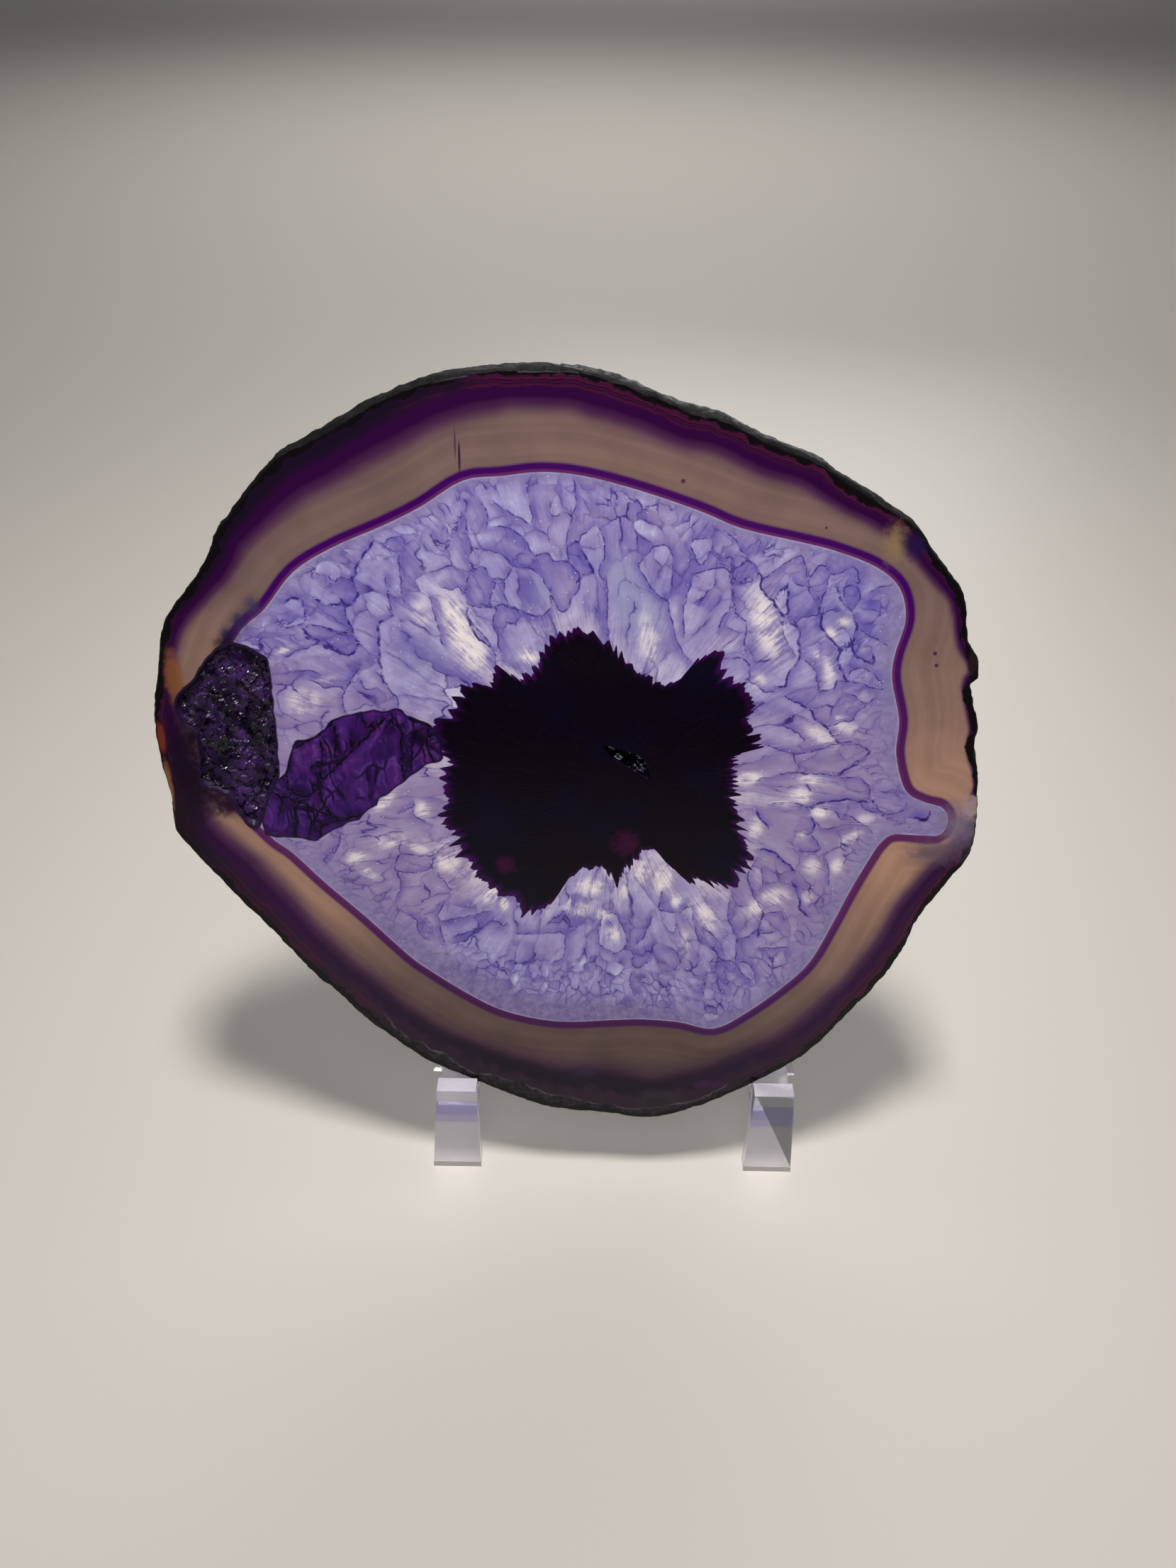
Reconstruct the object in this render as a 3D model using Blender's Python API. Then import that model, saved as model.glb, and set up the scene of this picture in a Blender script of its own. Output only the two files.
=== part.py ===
"""A polished agate slice leaning on a clear one-piece acrylic easel.

The slice stands on edge and leans back: its polished face looks along -Y.
Its outlines are written in the face's own plane, in millimetres: the first number runs to the
right from the easel's middle, the second up the leaning face from the height of the easel's lips.
"""
import math

import bmesh
import bpy
from mathutils import Vector, noise

MM = 0.001

# The stone
THICKNESS = 6.0
LEAN = math.radians(15.0)
FACE_Y = 4.0
FACE_Z = 24.0
RIM_STEPS = 4
RIM_NOISE = 0.45
RIM_GRAIN = 0.30
RIM_SHARES = (0.0, 0.08, 0.32, 0.62, 0.9, 1.0)

# Rim of the stone, clockwise from the top
RIM = (
    (-17, 126.5), (-12, 126.5), (-6.5, 126), (3, 123), (8, 121), (14, 119.5), (20.5, 116.5),
    (27.5, 114), (32.5, 111), (38.5, 107.5), (43.5, 104.5), (46.5, 101), (50, 97), (53, 93),
    (54.5, 86), (56.5, 83), (57, 80), (56, 78.5), (58, 71.5), (58, 68), (59.5, 62.5),
    (60.5, 53.5), (60, 47.5), (57, 42.5), (53, 35.5), (50.5, 28), (47, 21.5), (42.5, 15),
    (36, 6.5), (30.5, 2), (22, -3.5), (15, -7), (7, -9.5), (-2, -8.5), (-12, -7.5), (-20, -4.5),
    (-28.5, -0.5), (-35.5, 3), (-41, 7.5), (-46, 12), (-51, 17.5), (-55.5, 22), (-62.5, 31),
    (-67, 36.5), (-75, 47), (-77, 50.5), (-77, 55), (-78, 64), (-78, 71), (-77, 76), (-75, 85),
    (-73, 89), (-67, 96.5), (-64.5, 101.5), (-61.5, 105), (-55, 112.5), (-51.5, 114.5),
    (-46.5, 117), (-41.5, 120), (-36.5, 122.5), (-31, 124.5), (-23.5, 126),
)

# Narrow crystal-lined hollow in the middle of the stone
SLIT = (
    (-4.2, 67.4), (-2, 67), (0, 66.5), (2, 65.8), (3.4, 64.8), (4.3, 63.5), (4.6, 62),
    (4.4, 60.6), (3, 61.2), (1.2, 62.4), (-0.6, 63.4), (-2.2, 64.4), (-3.4, 65.8),
)
SLIT_DEPTH = 3.6

# Shallow rough pocket near the left rim
POCKET = (
    (-63.5, 84), (-59.5, 81.5), (-58, 75), (-58, 67.5), (-58, 62.5), (-60, 57.5), (-63, 50.5),
    (-65.5, 53), (-67.5, 56.5), (-71.5, 58.5), (-71.5, 63), (-71.5, 68), (-73.5, 69.5),
    (-74.5, 72.5), (-73.5, 75), (-70.5, 78), (-67.5, 82),
)
POCKET_DEPTH = 2.4

# Crusts of crystals in the two hollows
CRUST_GAP = 0.3
CRUST_SHELL = 0.45
CRUST_LEVELS = (0.16, 0.36, 0.58, 0.8, 1.0)
SLIT_NARROWING = 0.45
SLIT_CRYSTAL = 0.2
POCKET_NARROWING = 0.78
POCKET_CRYSTAL = 0.8

# The easel
LIP_TOP = 24.0
SEAT_TOP = 20.9
SEAT_THICK = 3.4
POST_DEPTH = 3.1
POST_INNER = 26.0
POST_OUTER = 35.5
POST_OUTER_TOP = 33.4
SHEET = 3.2
BACK_GAP = 0.4
BACK_LOW = -4.5
BACK_TOP = 72.0
BACK_TOP_HALF = 11.0
CROTCH = 46.0
CROTCH_HALF = 5.0
LEG_HALF = 8.0
LEG_FOOT_Y = 62.0
LEG_FOOT_LENGTH = 4.0
CORNER = 3.5


def clear_scene():
    """Remove every object that is in the scene."""
    for old in list(bpy.data.objects):
        bpy.data.objects.remove(old, do_unlink=True)


def collection(name):
    """Return a new collection linked to the scene."""
    made = bpy.data.collections.new(name)
    bpy.context.scene.collection.children.link(made)
    return made


def material(name, colour, roughness, transmission=0.0, ior=1.5):
    """Return a plain Principled material."""
    made = bpy.data.materials.new(name)
    made.use_nodes = True
    shader = made.node_tree.nodes["Principled BSDF"]
    shader.inputs["Base Color"].default_value = (*colour, 1.0)
    shader.inputs["Roughness"].default_value = roughness
    shader.inputs["Metallic"].default_value = 0.0
    shader.inputs["Transmission Weight"].default_value = transmission
    shader.inputs["IOR"].default_value = ior
    return made


def smooth_loop(points, steps):
    """Return a closed smooth curve through the points, with `steps` samples from each to the next."""
    count = len(points)
    loop = []
    for i in range(count):
        before, start, end, after = (Vector(points[(i + k) % count]) for k in (-1, 0, 1, 2))
        for s in range(steps):
            t = s / steps
            a = 2 * start
            b = (end - before) * t
            c = (2 * before - 5 * start + 4 * end - after) * t * t
            d = (3 * start - before - 3 * end + after) * t ** 3
            loop.append(0.5 * (a + b + c + d))
    return loop


def outward(loop, i):
    """Return the unit vector that points out of a clockwise loop at point i."""
    along = loop[(i + 1) % len(loop)] - loop[i - 1]
    return Vector((-along.y, along.x)).normalized()


def centroid(loop):
    """Return the mean of a loop's points."""
    return sum(loop, Vector((0.0, 0.0))) / len(loop)


def face_point(flat, depth):
    """Return a point of the stone's own space, in metres, from plane millimetres and a depth."""
    return Vector((flat.x * MM, depth * MM, flat.y * MM))


def add_ring(bm, flats, depths):
    """Add a closed ring of vertices and edges, and return its edges."""
    verts = [bm.verts.new(face_point(flat, depth)) for flat, depth in zip(flats, depths)]
    return [bm.edges.new((verts[i - 1], verts[i])) for i in range(len(verts))]


def finish_mesh(bm, name, group, look):
    """Turn a bmesh into a named object with a material, its faces pointing out."""
    bmesh.ops.recalc_face_normals(bm, faces=bm.faces)
    mesh = bpy.data.meshes.new(name)
    bm.to_mesh(mesh)
    bm.free()
    made = bpy.data.objects.new(name, mesh)
    group.objects.link(made)
    if look is not None:
        mesh.materials.append(look)
    return made


def rim_offset(flat, depth, share):
    """Return how far the rough rim stands out of its outline, where share 0 and 1 are the faces."""
    bulge = math.sqrt(math.sin(math.pi * share))
    slow = noise.noise(Vector((flat.x * 0.12, flat.y * 0.12, depth * 0.25 + 3.0)))
    fine = noise.noise(Vector((flat.x * 0.55, flat.y * 0.55, depth * 0.8 + 9.0)))
    top_skin = max(0.0, flat.y - 95.0) / 32.0
    inset = 0.55 + 0.9 * top_skin * (1.0 - share)
    return bulge * (0.35 + RIM_NOISE * slow + RIM_GRAIN * fine) - (1.0 - bulge) * inset


def stone(group, look):
    """Make the slab: two flat faces and a rough rim made of rings through its thickness."""
    outline = smooth_loop(RIM, RIM_STEPS)
    bm = bmesh.new()
    rings = []
    for share in RIM_SHARES:
        depth = share * THICKNESS
        flats = [
            flat + outward(outline, i) * rim_offset(flat, depth, share)
            for i, flat in enumerate(outline)
        ]
        rings.append(add_ring(bm, flats, [depth] * len(flats)))
    for near, far in zip(rings, rings[1:]):
        bmesh.ops.bridge_loops(bm, edges=near + far)
    for edges in (rings[0], rings[-1]):
        bmesh.ops.edgeloop_fill(bm, edges=edges)
    return finish_mesh(bm, "agate_slice", group, look)


def bowl(outline, depth, grow, levels, narrowing):
    """Return the rings of a bowl whose mouth is the outline: flats and depths, from mouth to floor."""
    middle = centroid(outline)
    reach = sum((flat - middle).length for flat in outline) / len(outline)
    rings = []
    for level in levels:
        scale = (1.0 + grow / reach) * (1.0 - narrowing * level ** 1.6)
        flats = [middle + (flat - middle) * scale for flat in outline]
        rough = [
            noise.noise(Vector((flat.x * 0.35, flat.y * 0.35, level * 2.0))) for flat in outline
        ]
        rings.append((flats, [level ** 0.75 * depth * (1.0 + 0.12 * r) for r in rough]))
    return rings


def hollow_cutter(name, outline, depth, narrowing, group):
    """Make the closed solid that cuts a hollow into the polished face."""
    bm = bmesh.new()
    rings = []
    shape = bowl(outline, depth, 0.0, (0.0,) + CRUST_LEVELS, narrowing)
    mouth = [flat + outward(outline, i) * 0.15 for i, flat in enumerate(outline)]
    rings.append(add_ring(bm, mouth, [-1.0] * len(mouth)))
    for flats, depths in shape:
        rings.append(add_ring(bm, flats, depths))
    for near, far in zip(rings, rings[1:]):
        bmesh.ops.bridge_loops(bm, edges=near + far)
    for edges in (rings[0], rings[-1]):
        bmesh.ops.edgeloop_fill(bm, edges=edges)
    bmesh.ops.triangulate(bm, faces=bm.faces)
    cutter = finish_mesh(bm, name, group, None)
    cutter.hide_render = True
    cutter.display_type = "WIRE"
    return cutter


def crust(name, outline, depth, narrowing, crystal, group, look):
    """Make a crust that lines a hollow, with a pointed crystal on each cell of its inner side."""
    bm = bmesh.new()
    inset = CRUST_GAP + CRUST_SHELL
    inner = bowl(outline, depth - inset, -inset, CRUST_LEVELS, narrowing)
    outer = bowl(outline, depth - CRUST_GAP, -CRUST_GAP, CRUST_LEVELS, narrowing)
    inner_rings = [add_ring(bm, flats, depths) for flats, depths in inner]
    cells = []
    for near, far in zip(inner_rings, inner_rings[1:]):
        cells += bmesh.ops.bridge_loops(bm, edges=near + far)["faces"]
    cells += bmesh.ops.edgeloop_fill(bm, edges=inner_rings[-1])["faces"]
    outer_rings = [add_ring(bm, flats, depths) for flats, depths in outer]
    for near, far in zip(outer_rings, outer_rings[1:]):
        bmesh.ops.bridge_loops(bm, edges=near + far)
    bmesh.ops.edgeloop_fill(bm, edges=outer_rings[-1])
    bmesh.ops.bridge_loops(bm, edges=inner_rings[0] + outer_rings[0])
    bmesh.ops.recalc_face_normals(bm, faces=bm.faces)
    for cell in cells:
        place = cell.calc_center_median() / MM
        tall = crystal * (0.75 + 0.6 * noise.noise(place * 1.7))
        bmesh.ops.poke(bm, faces=[cell], offset=tall * MM, center_mode="MEAN")
    bmesh.ops.triangulate(bm, faces=[face for face in bm.faces if len(face.verts) > 3])
    return finish_mesh(bm, name, group, look)


def cut(target, cutter):
    """Cut the cutter out of the target."""
    tool = target.modifiers.new(cutter.name, "BOOLEAN")
    tool.operation = "DIFFERENCE"
    tool.solver = "EXACT"
    tool.object = cutter


def rounded_outline(corners, radius):
    """Return the corners with each of them replaced by an arc of the given radius."""
    points = []
    count = len(corners)
    for i in range(count):
        here = Vector(corners[i])
        back = (Vector(corners[i - 1]) - here).normalized()
        ahead = (Vector(corners[(i + 1) % count]) - here).normalized()
        reach = radius / math.tan(back.angle(ahead) / 2.0)
        start = here + back * reach
        end = here + ahead * reach
        for s in range(5):
            t = s / 4
            points.append(start * (1 - t) ** 2 + here * 2 * t * (1 - t) + end * t * t)
    return points


def plate(name, outline, thickness, group):
    """Make a flat sheet from an outline in XY, centred on Z = 0, as a clean mesh object."""
    curve = bpy.data.curves.new(name, "CURVE")
    curve.dimensions = "2D"
    curve.fill_mode = "BOTH"
    curve.extrude = thickness * MM / 2.0
    spline = curve.splines.new("POLY")
    spline.points.add(len(outline) - 1)
    for point, flat in zip(spline.points, outline):
        point.co = (flat[0] * MM, flat[1] * MM, 0.0, 1.0)
    spline.use_cyclic_u = True
    flat_curve = bpy.data.objects.new(name + "_curve", curve)
    group.objects.link(flat_curve)
    bpy.context.view_layer.update()
    seen = flat_curve.evaluated_get(bpy.context.evaluated_depsgraph_get())
    mesh = bpy.data.meshes.new_from_object(seen)
    bpy.data.objects.remove(flat_curve, do_unlink=True)
    bm = bmesh.new()
    bm.from_mesh(mesh)
    bmesh.ops.remove_doubles(bm, verts=bm.verts, dist=1e-6)
    bmesh.ops.dissolve_limit(bm, angle_limit=1e-4, verts=bm.verts, edges=bm.edges)
    bmesh.ops.recalc_face_normals(bm, faces=bm.faces)
    bm.to_mesh(mesh)
    bm.free()
    mesh.name = name
    made = bpy.data.objects.new(name, mesh)
    group.objects.link(made)
    return made


def back_point(up, behind):
    """Return Y and Z, in millimetres, of a point of the leaning back, `behind` the polished face."""
    y = FACE_Y + up * math.sin(LEAN) + behind * math.cos(LEAN)
    z = FACE_Z + up * math.cos(LEAN) - behind * math.sin(LEAN)
    return y, z


def back_sheet(group):
    """Make the leaning back: two arms that meet in a wide top, like a letter A without its bar."""
    corners = (
        (-POST_OUTER, BACK_LOW), (-BACK_TOP_HALF, BACK_TOP), (BACK_TOP_HALF, BACK_TOP),
        (POST_OUTER, BACK_LOW), (POST_INNER, BACK_LOW), (CROTCH_HALF, CROTCH),
        (-CROTCH_HALF, CROTCH), (-POST_INNER, BACK_LOW),
    )
    sharp = (0, 3, 4, 7)
    soft = rounded_outline(corners, CORNER)
    outline = []
    for i, corner in enumerate(corners):
        outline += [Vector(corner)] if i in sharp else soft[i * 5:i * 5 + 5]
    sheet = plate("back_sheet", outline, SHEET, group)
    y, z = back_point(0.0, THICKNESS + BACK_GAP + SHEET / 2.0)
    sheet.location = (0.0, y * MM, z * MM)
    sheet.rotation_euler = (math.pi / 2.0 - LEAN, 0.0, 0.0)
    return sheet


def post(side, group):
    """Make one front post: it is narrower at its top, and stands up past the seat as a lip."""
    outline = (
        (side * POST_INNER, 0.0), (side * POST_OUTER, 0.0),
        (side * POST_OUTER_TOP, LIP_TOP), (side * POST_INNER, LIP_TOP),
    )
    made = plate("post", outline, POST_DEPTH, group)
    made.location = (0.0, POST_DEPTH * MM / 2.0, 0.0)
    made.rotation_euler = (math.pi / 2.0, 0.0, 0.0)
    return made


def side_plate(name, profile, middle, width, group):
    """Make a solid from a side profile of Y and Z, centred on X = middle."""
    made = plate(name, profile, width, group)
    made.location = (middle * MM, 0.0, 0.0)
    made.rotation_euler = (math.pi / 2.0, 0.0, math.pi / 2.0)
    return made


def seat(side, group):
    """Make one seat, the short shelf that runs from a post back to its arm."""
    rear = back_point(BACK_LOW + SEAT_THICK, THICKNESS + BACK_GAP + SHEET)[0] - 0.4
    profile = (
        (POST_DEPTH / 2.0, SEAT_TOP - SEAT_THICK), (rear, SEAT_TOP - SEAT_THICK),
        (rear, SEAT_TOP), (POST_DEPTH / 2.0, SEAT_TOP),
    )
    width = POST_OUTER_TOP - POST_INNER
    middle = side * (POST_INNER + width / 2.0)
    return side_plate("seat", profile, middle, width, group)


def rear_leg(group):
    """Make the strut that runs from the top of the back down to the surface behind it."""
    top_y, top_z = back_point(BACK_TOP - CORNER, THICKNESS + BACK_GAP + SHEET / 2.0)
    profile = (
        (LEG_FOOT_Y - LEG_FOOT_LENGTH, 0.0), (LEG_FOOT_Y, 0.0),
        (top_y + SHEET / 2.0, top_z), (top_y - 0.6, top_z - 2.2),
    )
    return side_plate("rear_leg", profile, 0.0, 2.0 * LEG_HALF, group)


def easel(group, tools, look):
    """Join the sheets of the easel into one clear solid."""
    body = back_sheet(group)
    body.name = "easel"
    body.data.materials.append(look)
    pieces = [rear_leg(tools)]
    for side in (-1, 1):
        pieces += [seat(side, tools), post(side, tools)]
    for piece in pieces:
        piece.hide_render = True
        piece.display_type = "WIRE"
        join = body.modifiers.new(piece.name, "BOOLEAN")
        join.operation = "UNION"
        join.solver = "EXACT"
        join.object = piece
    return body, pieces


def hang_on(piece, parent):
    """Parent a piece and keep it where it is."""
    piece.parent = parent


def world_bounds(pieces):
    """Return the lowest and highest world corner of the evaluated pieces."""
    graph = bpy.context.evaluated_depsgraph_get()
    points = []
    for piece in pieces:
        seen = piece.evaluated_get(graph)
        points += [piece.matrix_world @ vert.co for vert in seen.data.vertices]
    low = Vector([min(p[k] for p in points) for k in range(3)])
    high = Vector([max(p[k] for p in points) for k in range(3)])
    return low, high


def build():
    """Build the stone, its crusts and the easel, and stand them centred on the origin."""
    clear_scene()
    parts = collection("agate_slice_on_easel")
    tools = collection("cutters")
    root = bpy.data.objects.new("stand_centre", None)
    parts.objects.link(root)
    tilt = bpy.data.objects.new("leaning_plane", None)
    parts.objects.link(tilt)
    tilt.parent = root
    tilt.location = (0.0, FACE_Y * MM, FACE_Z * MM)
    tilt.rotation_euler = (-LEAN, 0.0, 0.0)

    agate = material("agate", (0.09, 0.04, 0.16), 0.12)
    quartz = material("quartz_crystals", (0.45, 0.38, 0.62), 0.15)
    dark_crystals = material("pocket_crystals", (0.05, 0.03, 0.07), 0.4)
    acrylic = material("clear_acrylic", (0.96, 0.97, 0.98), 0.03, transmission=1.0, ior=1.49)

    slab = stone(parts, agate)
    hollows = (
        ("slit", SLIT, 1, SLIT_DEPTH, SLIT_NARROWING, SLIT_CRYSTAL, quartz),
        ("pocket", POCKET, 2, POCKET_DEPTH, POCKET_NARROWING, POCKET_CRYSTAL, dark_crystals),
    )
    leaning = [slab]
    for name, outline, steps, depth, narrowing, crystal, look in hollows:
        loop = smooth_loop(outline, steps)
        cutter = hollow_cutter(name + "_cutter", loop, depth, narrowing, tools)
        cut(slab, cutter)
        lining = crust(name + "_crystals", loop, depth, narrowing, crystal, parts, look)
        leaning += [cutter, lining]
    for piece in leaning:
        hang_on(piece, tilt)
    stand, stand_tools = easel(parts, tools, acrylic)
    for piece in [stand] + stand_tools:
        hang_on(piece, root)

    bpy.context.view_layer.update()
    low, high = world_bounds([slab, stand])
    root.location = (-(low.x + high.x) / 2.0, -(low.y + high.y) / 2.0, -low.z)
    bpy.context.view_layer.update()
    print("size in mm:", [round(v / MM, 2) for v in high - low])
    print("stand middle in mm:", [round(v / MM, 2) for v in root.location])


build()
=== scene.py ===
# %% [markdown]
# # An agate slice on a clear easel
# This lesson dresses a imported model: a dyed agate slice that leans on a small acrylic easel.
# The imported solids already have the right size, so they are loaded first and only measured.
# Blender's noise vectors change from run to run until they get a seed, so they get one here.

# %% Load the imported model
import math
import random

import bmesh
import bpy
import numpy as np
from mathutils import Matrix, Vector, noise
from mathutils.kdtree import KDTree


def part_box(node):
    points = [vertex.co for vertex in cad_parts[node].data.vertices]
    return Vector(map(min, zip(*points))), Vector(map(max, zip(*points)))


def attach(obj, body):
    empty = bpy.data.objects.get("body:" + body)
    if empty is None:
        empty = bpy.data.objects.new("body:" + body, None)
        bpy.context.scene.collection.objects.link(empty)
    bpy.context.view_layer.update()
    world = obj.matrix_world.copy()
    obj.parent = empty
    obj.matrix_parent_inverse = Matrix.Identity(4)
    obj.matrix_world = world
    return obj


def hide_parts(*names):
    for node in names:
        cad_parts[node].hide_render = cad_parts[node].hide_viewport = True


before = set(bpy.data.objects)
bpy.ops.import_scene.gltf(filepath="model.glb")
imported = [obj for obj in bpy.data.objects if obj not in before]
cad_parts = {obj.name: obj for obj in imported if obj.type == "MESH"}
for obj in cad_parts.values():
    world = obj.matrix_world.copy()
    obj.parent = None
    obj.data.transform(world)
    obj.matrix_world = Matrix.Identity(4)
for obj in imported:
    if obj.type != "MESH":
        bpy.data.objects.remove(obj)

MM = 0.001
NOISE_SEED = 7
noise.seed_set(NOISE_SEED)
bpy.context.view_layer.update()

# %% [markdown]
# The stone's outlines are flat drawings on a leaning plane, so it pays to fix that plane once.
# The easel gives the plane's place: its middle is x = 0 of the drawing, and its front is where
# depths are counted from. Three numbers then turn any drawn point into a place in the room.

# %% Turn points of the leaning plane into places in the room
LEAN = math.radians(15.0)
FACE_Y = 4.0
FACE_Z = 24.0
THICKNESS = 6.0

easel_low, easel_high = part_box("easel")
MIDDLE_X = (easel_low[0] + easel_high[0]) / 2.0 / MM
FRONT_Y = easel_low[1] / MM


def stand_point(x, y, z):
    """Return a place in metres from millimetres right of, behind and above the easel's front."""
    return Vector(((MIDDLE_X + x) * MM, (FRONT_Y + y) * MM, z * MM))


def plane_point(right, up, depth=0.0):
    """Return a place in metres from millimetres along the leaning face and into the stone."""
    y = FACE_Y + up * math.sin(LEAN) + depth * math.cos(LEAN)
    z = FACE_Z + up * math.cos(LEAN) - depth * math.sin(LEAN)
    return stand_point(right, y, z)


def plane_coordinates(places):
    """Return right, up and depth in millimetres for an array of places in metres."""
    x = places[:, 0] / MM - MIDDLE_X
    y = places[:, 1] / MM - FRONT_Y - FACE_Y
    z = places[:, 2] / MM - FACE_Z
    up = y * math.sin(LEAN) + z * math.cos(LEAN)
    depth = y * math.cos(LEAN) - z * math.sin(LEAN)
    return x, up, depth


print("easel middle and front in mm:", round(MIDDLE_X, 2), round(FRONT_Y, 2))

# %% [markdown]
# Every shape is drawn as a loose mesh first, then kept under a name and put in the scene. Two
# short functions hold those steps.

# %% Keep a shape and put it in the scene


def finish_mesh(name, drawn):
    """Keep a drawn shape as a mesh with a name."""
    mesh = bpy.data.meshes.new(name)
    drawn.to_mesh(mesh)
    drawn.free()
    return mesh


def put_in_scene(name, data):
    """Put a mesh, a lamp or a camera lens in the scene as an object with a name."""
    made = bpy.data.objects.new(name, data)
    bpy.context.scene.collection.objects.link(made)
    return made


# %% [markdown]
# The camera stands close in front of the stone and looks down on it, as a phone does over a table.
# A wide lens this close makes the bottom of the stone look smaller than its top, so the distance
# matters as much as the direction. The picture is 1659 by 2212, and its long side is the height.

# %% Place the camera
CAMERA_PLACE = stand_point(-6.1, -136.7, 205.2)
CAMERA_DOWN = math.radians(38.24)
CAMERA_ROLL = math.radians(0.98)
FOCAL_PIXELS = 1661.0
PICTURE_HEIGHT = 2212.0

lens = bpy.data.cameras.new("camera")
lens.sensor_width = 36.0
lens.lens = lens.sensor_width * FOCAL_PIXELS / PICTURE_HEIGHT
lens.clip_start = 0.005
lens.clip_end = 20.0
camera = put_in_scene("camera", lens)
tip = Matrix.Rotation(math.pi / 2.0 - CAMERA_DOWN, 3, "X")
roll = Matrix.Rotation(CAMERA_ROLL, 3, "Z")
camera.location = CAMERA_PLACE
camera.rotation_euler = (tip @ roll).to_euler()
bpy.context.scene.camera = camera
print("lens in mm:", round(lens.lens, 2))

# %% [markdown]
# Colours are easiest to judge on a screen, where each channel runs from 0 to 255, but a shader
# adds light in linear numbers. One small function changes the first into the second.

# %% Read a screen colour


def screen(red, green, blue):
    """Turn a screen colour, 0 to 255 a channel, into the linear colour that a shader uses."""
    linear = []
    for value in (red / 255.0, green / 255.0, blue / 255.0):
        low = value <= 0.04045
        linear.append(value / 12.92 if low else ((value + 0.055) / 1.055) ** 2.4)
    return (*linear, 1.0)


# %% [markdown]
# Node trees are long to write out link by link. `Wires` is a thin helper: every method adds one
# node, plugs in what it is given, whether a socket or a number, and returns the node's output.

# %% A small helper for node trees


class Wires:
    """Adds nodes to one node tree, one method for each kind of node."""

    def __init__(self, tree):
        self.tree = tree

    def put(self, socket, value):
        """Link a socket's source, or set its number or colour."""
        if isinstance(value, bpy.types.NodeSocket):
            self.tree.links.new(value, socket)
        else:
            socket.default_value = value

    def add(self, kind, **settings):
        """Add a node and set its properties."""
        made = self.tree.nodes.new(kind)
        for name, value in settings.items():
            setattr(made, name, value)
        return made

    def math(self, operation, first, second=0.0, third=0.0, clamp=False):
        """Do arithmetic on numbers."""
        made = self.add("ShaderNodeMath", operation=operation, use_clamp=clamp)
        for socket, value in zip(made.inputs, (first, second, third)):
            self.put(socket, value)
        return made.outputs[0]

    def times(self, first, second, clamp=False):
        """Multiply two numbers."""
        return self.math("MULTIPLY", first, second, clamp=clamp)

    def minus(self, first, second):
        """Subtract the second number from the first."""
        return self.math("SUBTRACT", first, second)

    def times_plus(self, first, second, third):
        """Multiply the first two numbers and add the third."""
        return self.math("MULTIPLY_ADD", first, second, third)

    def centred(self, vector, scale, detail, roughness=0.5):
        """Return noise that swings about zero, from -0.5 to 0.5."""
        return self.minus(self.noise(vector, scale, detail, roughness), 0.5)

    def larger(self, first, second):
        """Return the larger of two numbers."""
        return self.math("MAXIMUM", first, second)

    def blend(self, share, first, second, mode="MIX"):
        """Mix two colours."""
        made = self.add("ShaderNodeMix", data_type="RGBA", blend_type=mode)
        self.put(made.inputs[0], share)
        self.put(made.inputs[6], first)
        self.put(made.inputs[7], second)
        return made.outputs[2]

    def fade(self, value, start, end, low=0.0, high=1.0):
        """Run smoothly from low to high while the value runs from start to end."""
        made = self.add("ShaderNodeMapRange", interpolation_type="SMOOTHSTEP")
        for socket, number in zip(made.inputs, (value, start, end, low, high)):
            self.put(socket, number)
        return made.outputs[0]

    def ramp(self, value, stops):
        """Turn a number into a colour by named stops: pairs of place and colour."""
        made = self.add("ShaderNodeValToRGB")
        points = made.color_ramp.elements
        while len(points) < len(stops):
            points.new(0.5)
        for point, (place, colour) in zip(points, stops):
            point.position = place
            point.color = colour
        self.put(made.inputs[0], value)
        return made.outputs[0]

    def noise(self, vector, scale, detail=3.0, roughness=0.5, distortion=0.0):
        """Return soft noise between 0 and 1."""
        made = self.add("ShaderNodeTexNoise")
        self.put(made.inputs["Vector"], vector)
        self.put(made.inputs["Scale"], scale)
        self.put(made.inputs["Detail"], detail)
        self.put(made.inputs["Roughness"], roughness)
        self.put(made.inputs["Distortion"], distortion)
        return made.outputs["Fac"]

    def cells(self, vector, scale, feature="F1", randomness=1.0):
        """Return a Voronoi node, whose outputs are the distance and a random colour a cell."""
        made = self.add("ShaderNodeTexVoronoi", feature=feature)
        self.put(made.inputs["Vector"], vector)
        self.put(made.inputs["Scale"], scale)
        self.put(made.inputs["Randomness"], randomness)
        return made

    def stretch(self, vector, across, along, angle=0.0):
        """Scale, and turn, flat coordinates."""
        made = self.add("ShaderNodeMapping")
        self.put(made.inputs["Vector"], vector)
        made.inputs["Rotation"].default_value = (0.0, 0.0, angle)
        made.inputs["Scale"].default_value = (across, along, 1.0)
        return made.outputs[0]

    def shake(self, vector, scale, amount):
        """Push coordinates about by soft noise, so that straight patterns wander."""
        texture = self.add("ShaderNodeTexNoise")
        self.put(texture.inputs["Vector"], vector)
        texture.inputs["Scale"].default_value = scale
        texture.inputs["Detail"].default_value = 2.0
        centred = self.add("ShaderNodeVectorMath", operation="SUBTRACT")
        self.put(centred.inputs[0], texture.outputs["Color"])
        centred.inputs[1].default_value = (0.5, 0.5, 0.5)
        pushed = self.add("ShaderNodeVectorMath", operation="MULTIPLY_ADD")
        self.put(pushed.inputs[0], centred.outputs[0])
        pushed.inputs[1].default_value = (amount, amount, 0.0)
        self.put(pushed.inputs[2], vector)
        return pushed.outputs[0]

    def channel(self, colour, index):
        """Return one channel of a colour as a number."""
        made = self.add("ShaderNodeSeparateColor")
        self.put(made.inputs[0], colour)
        return made.outputs[index]

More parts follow.
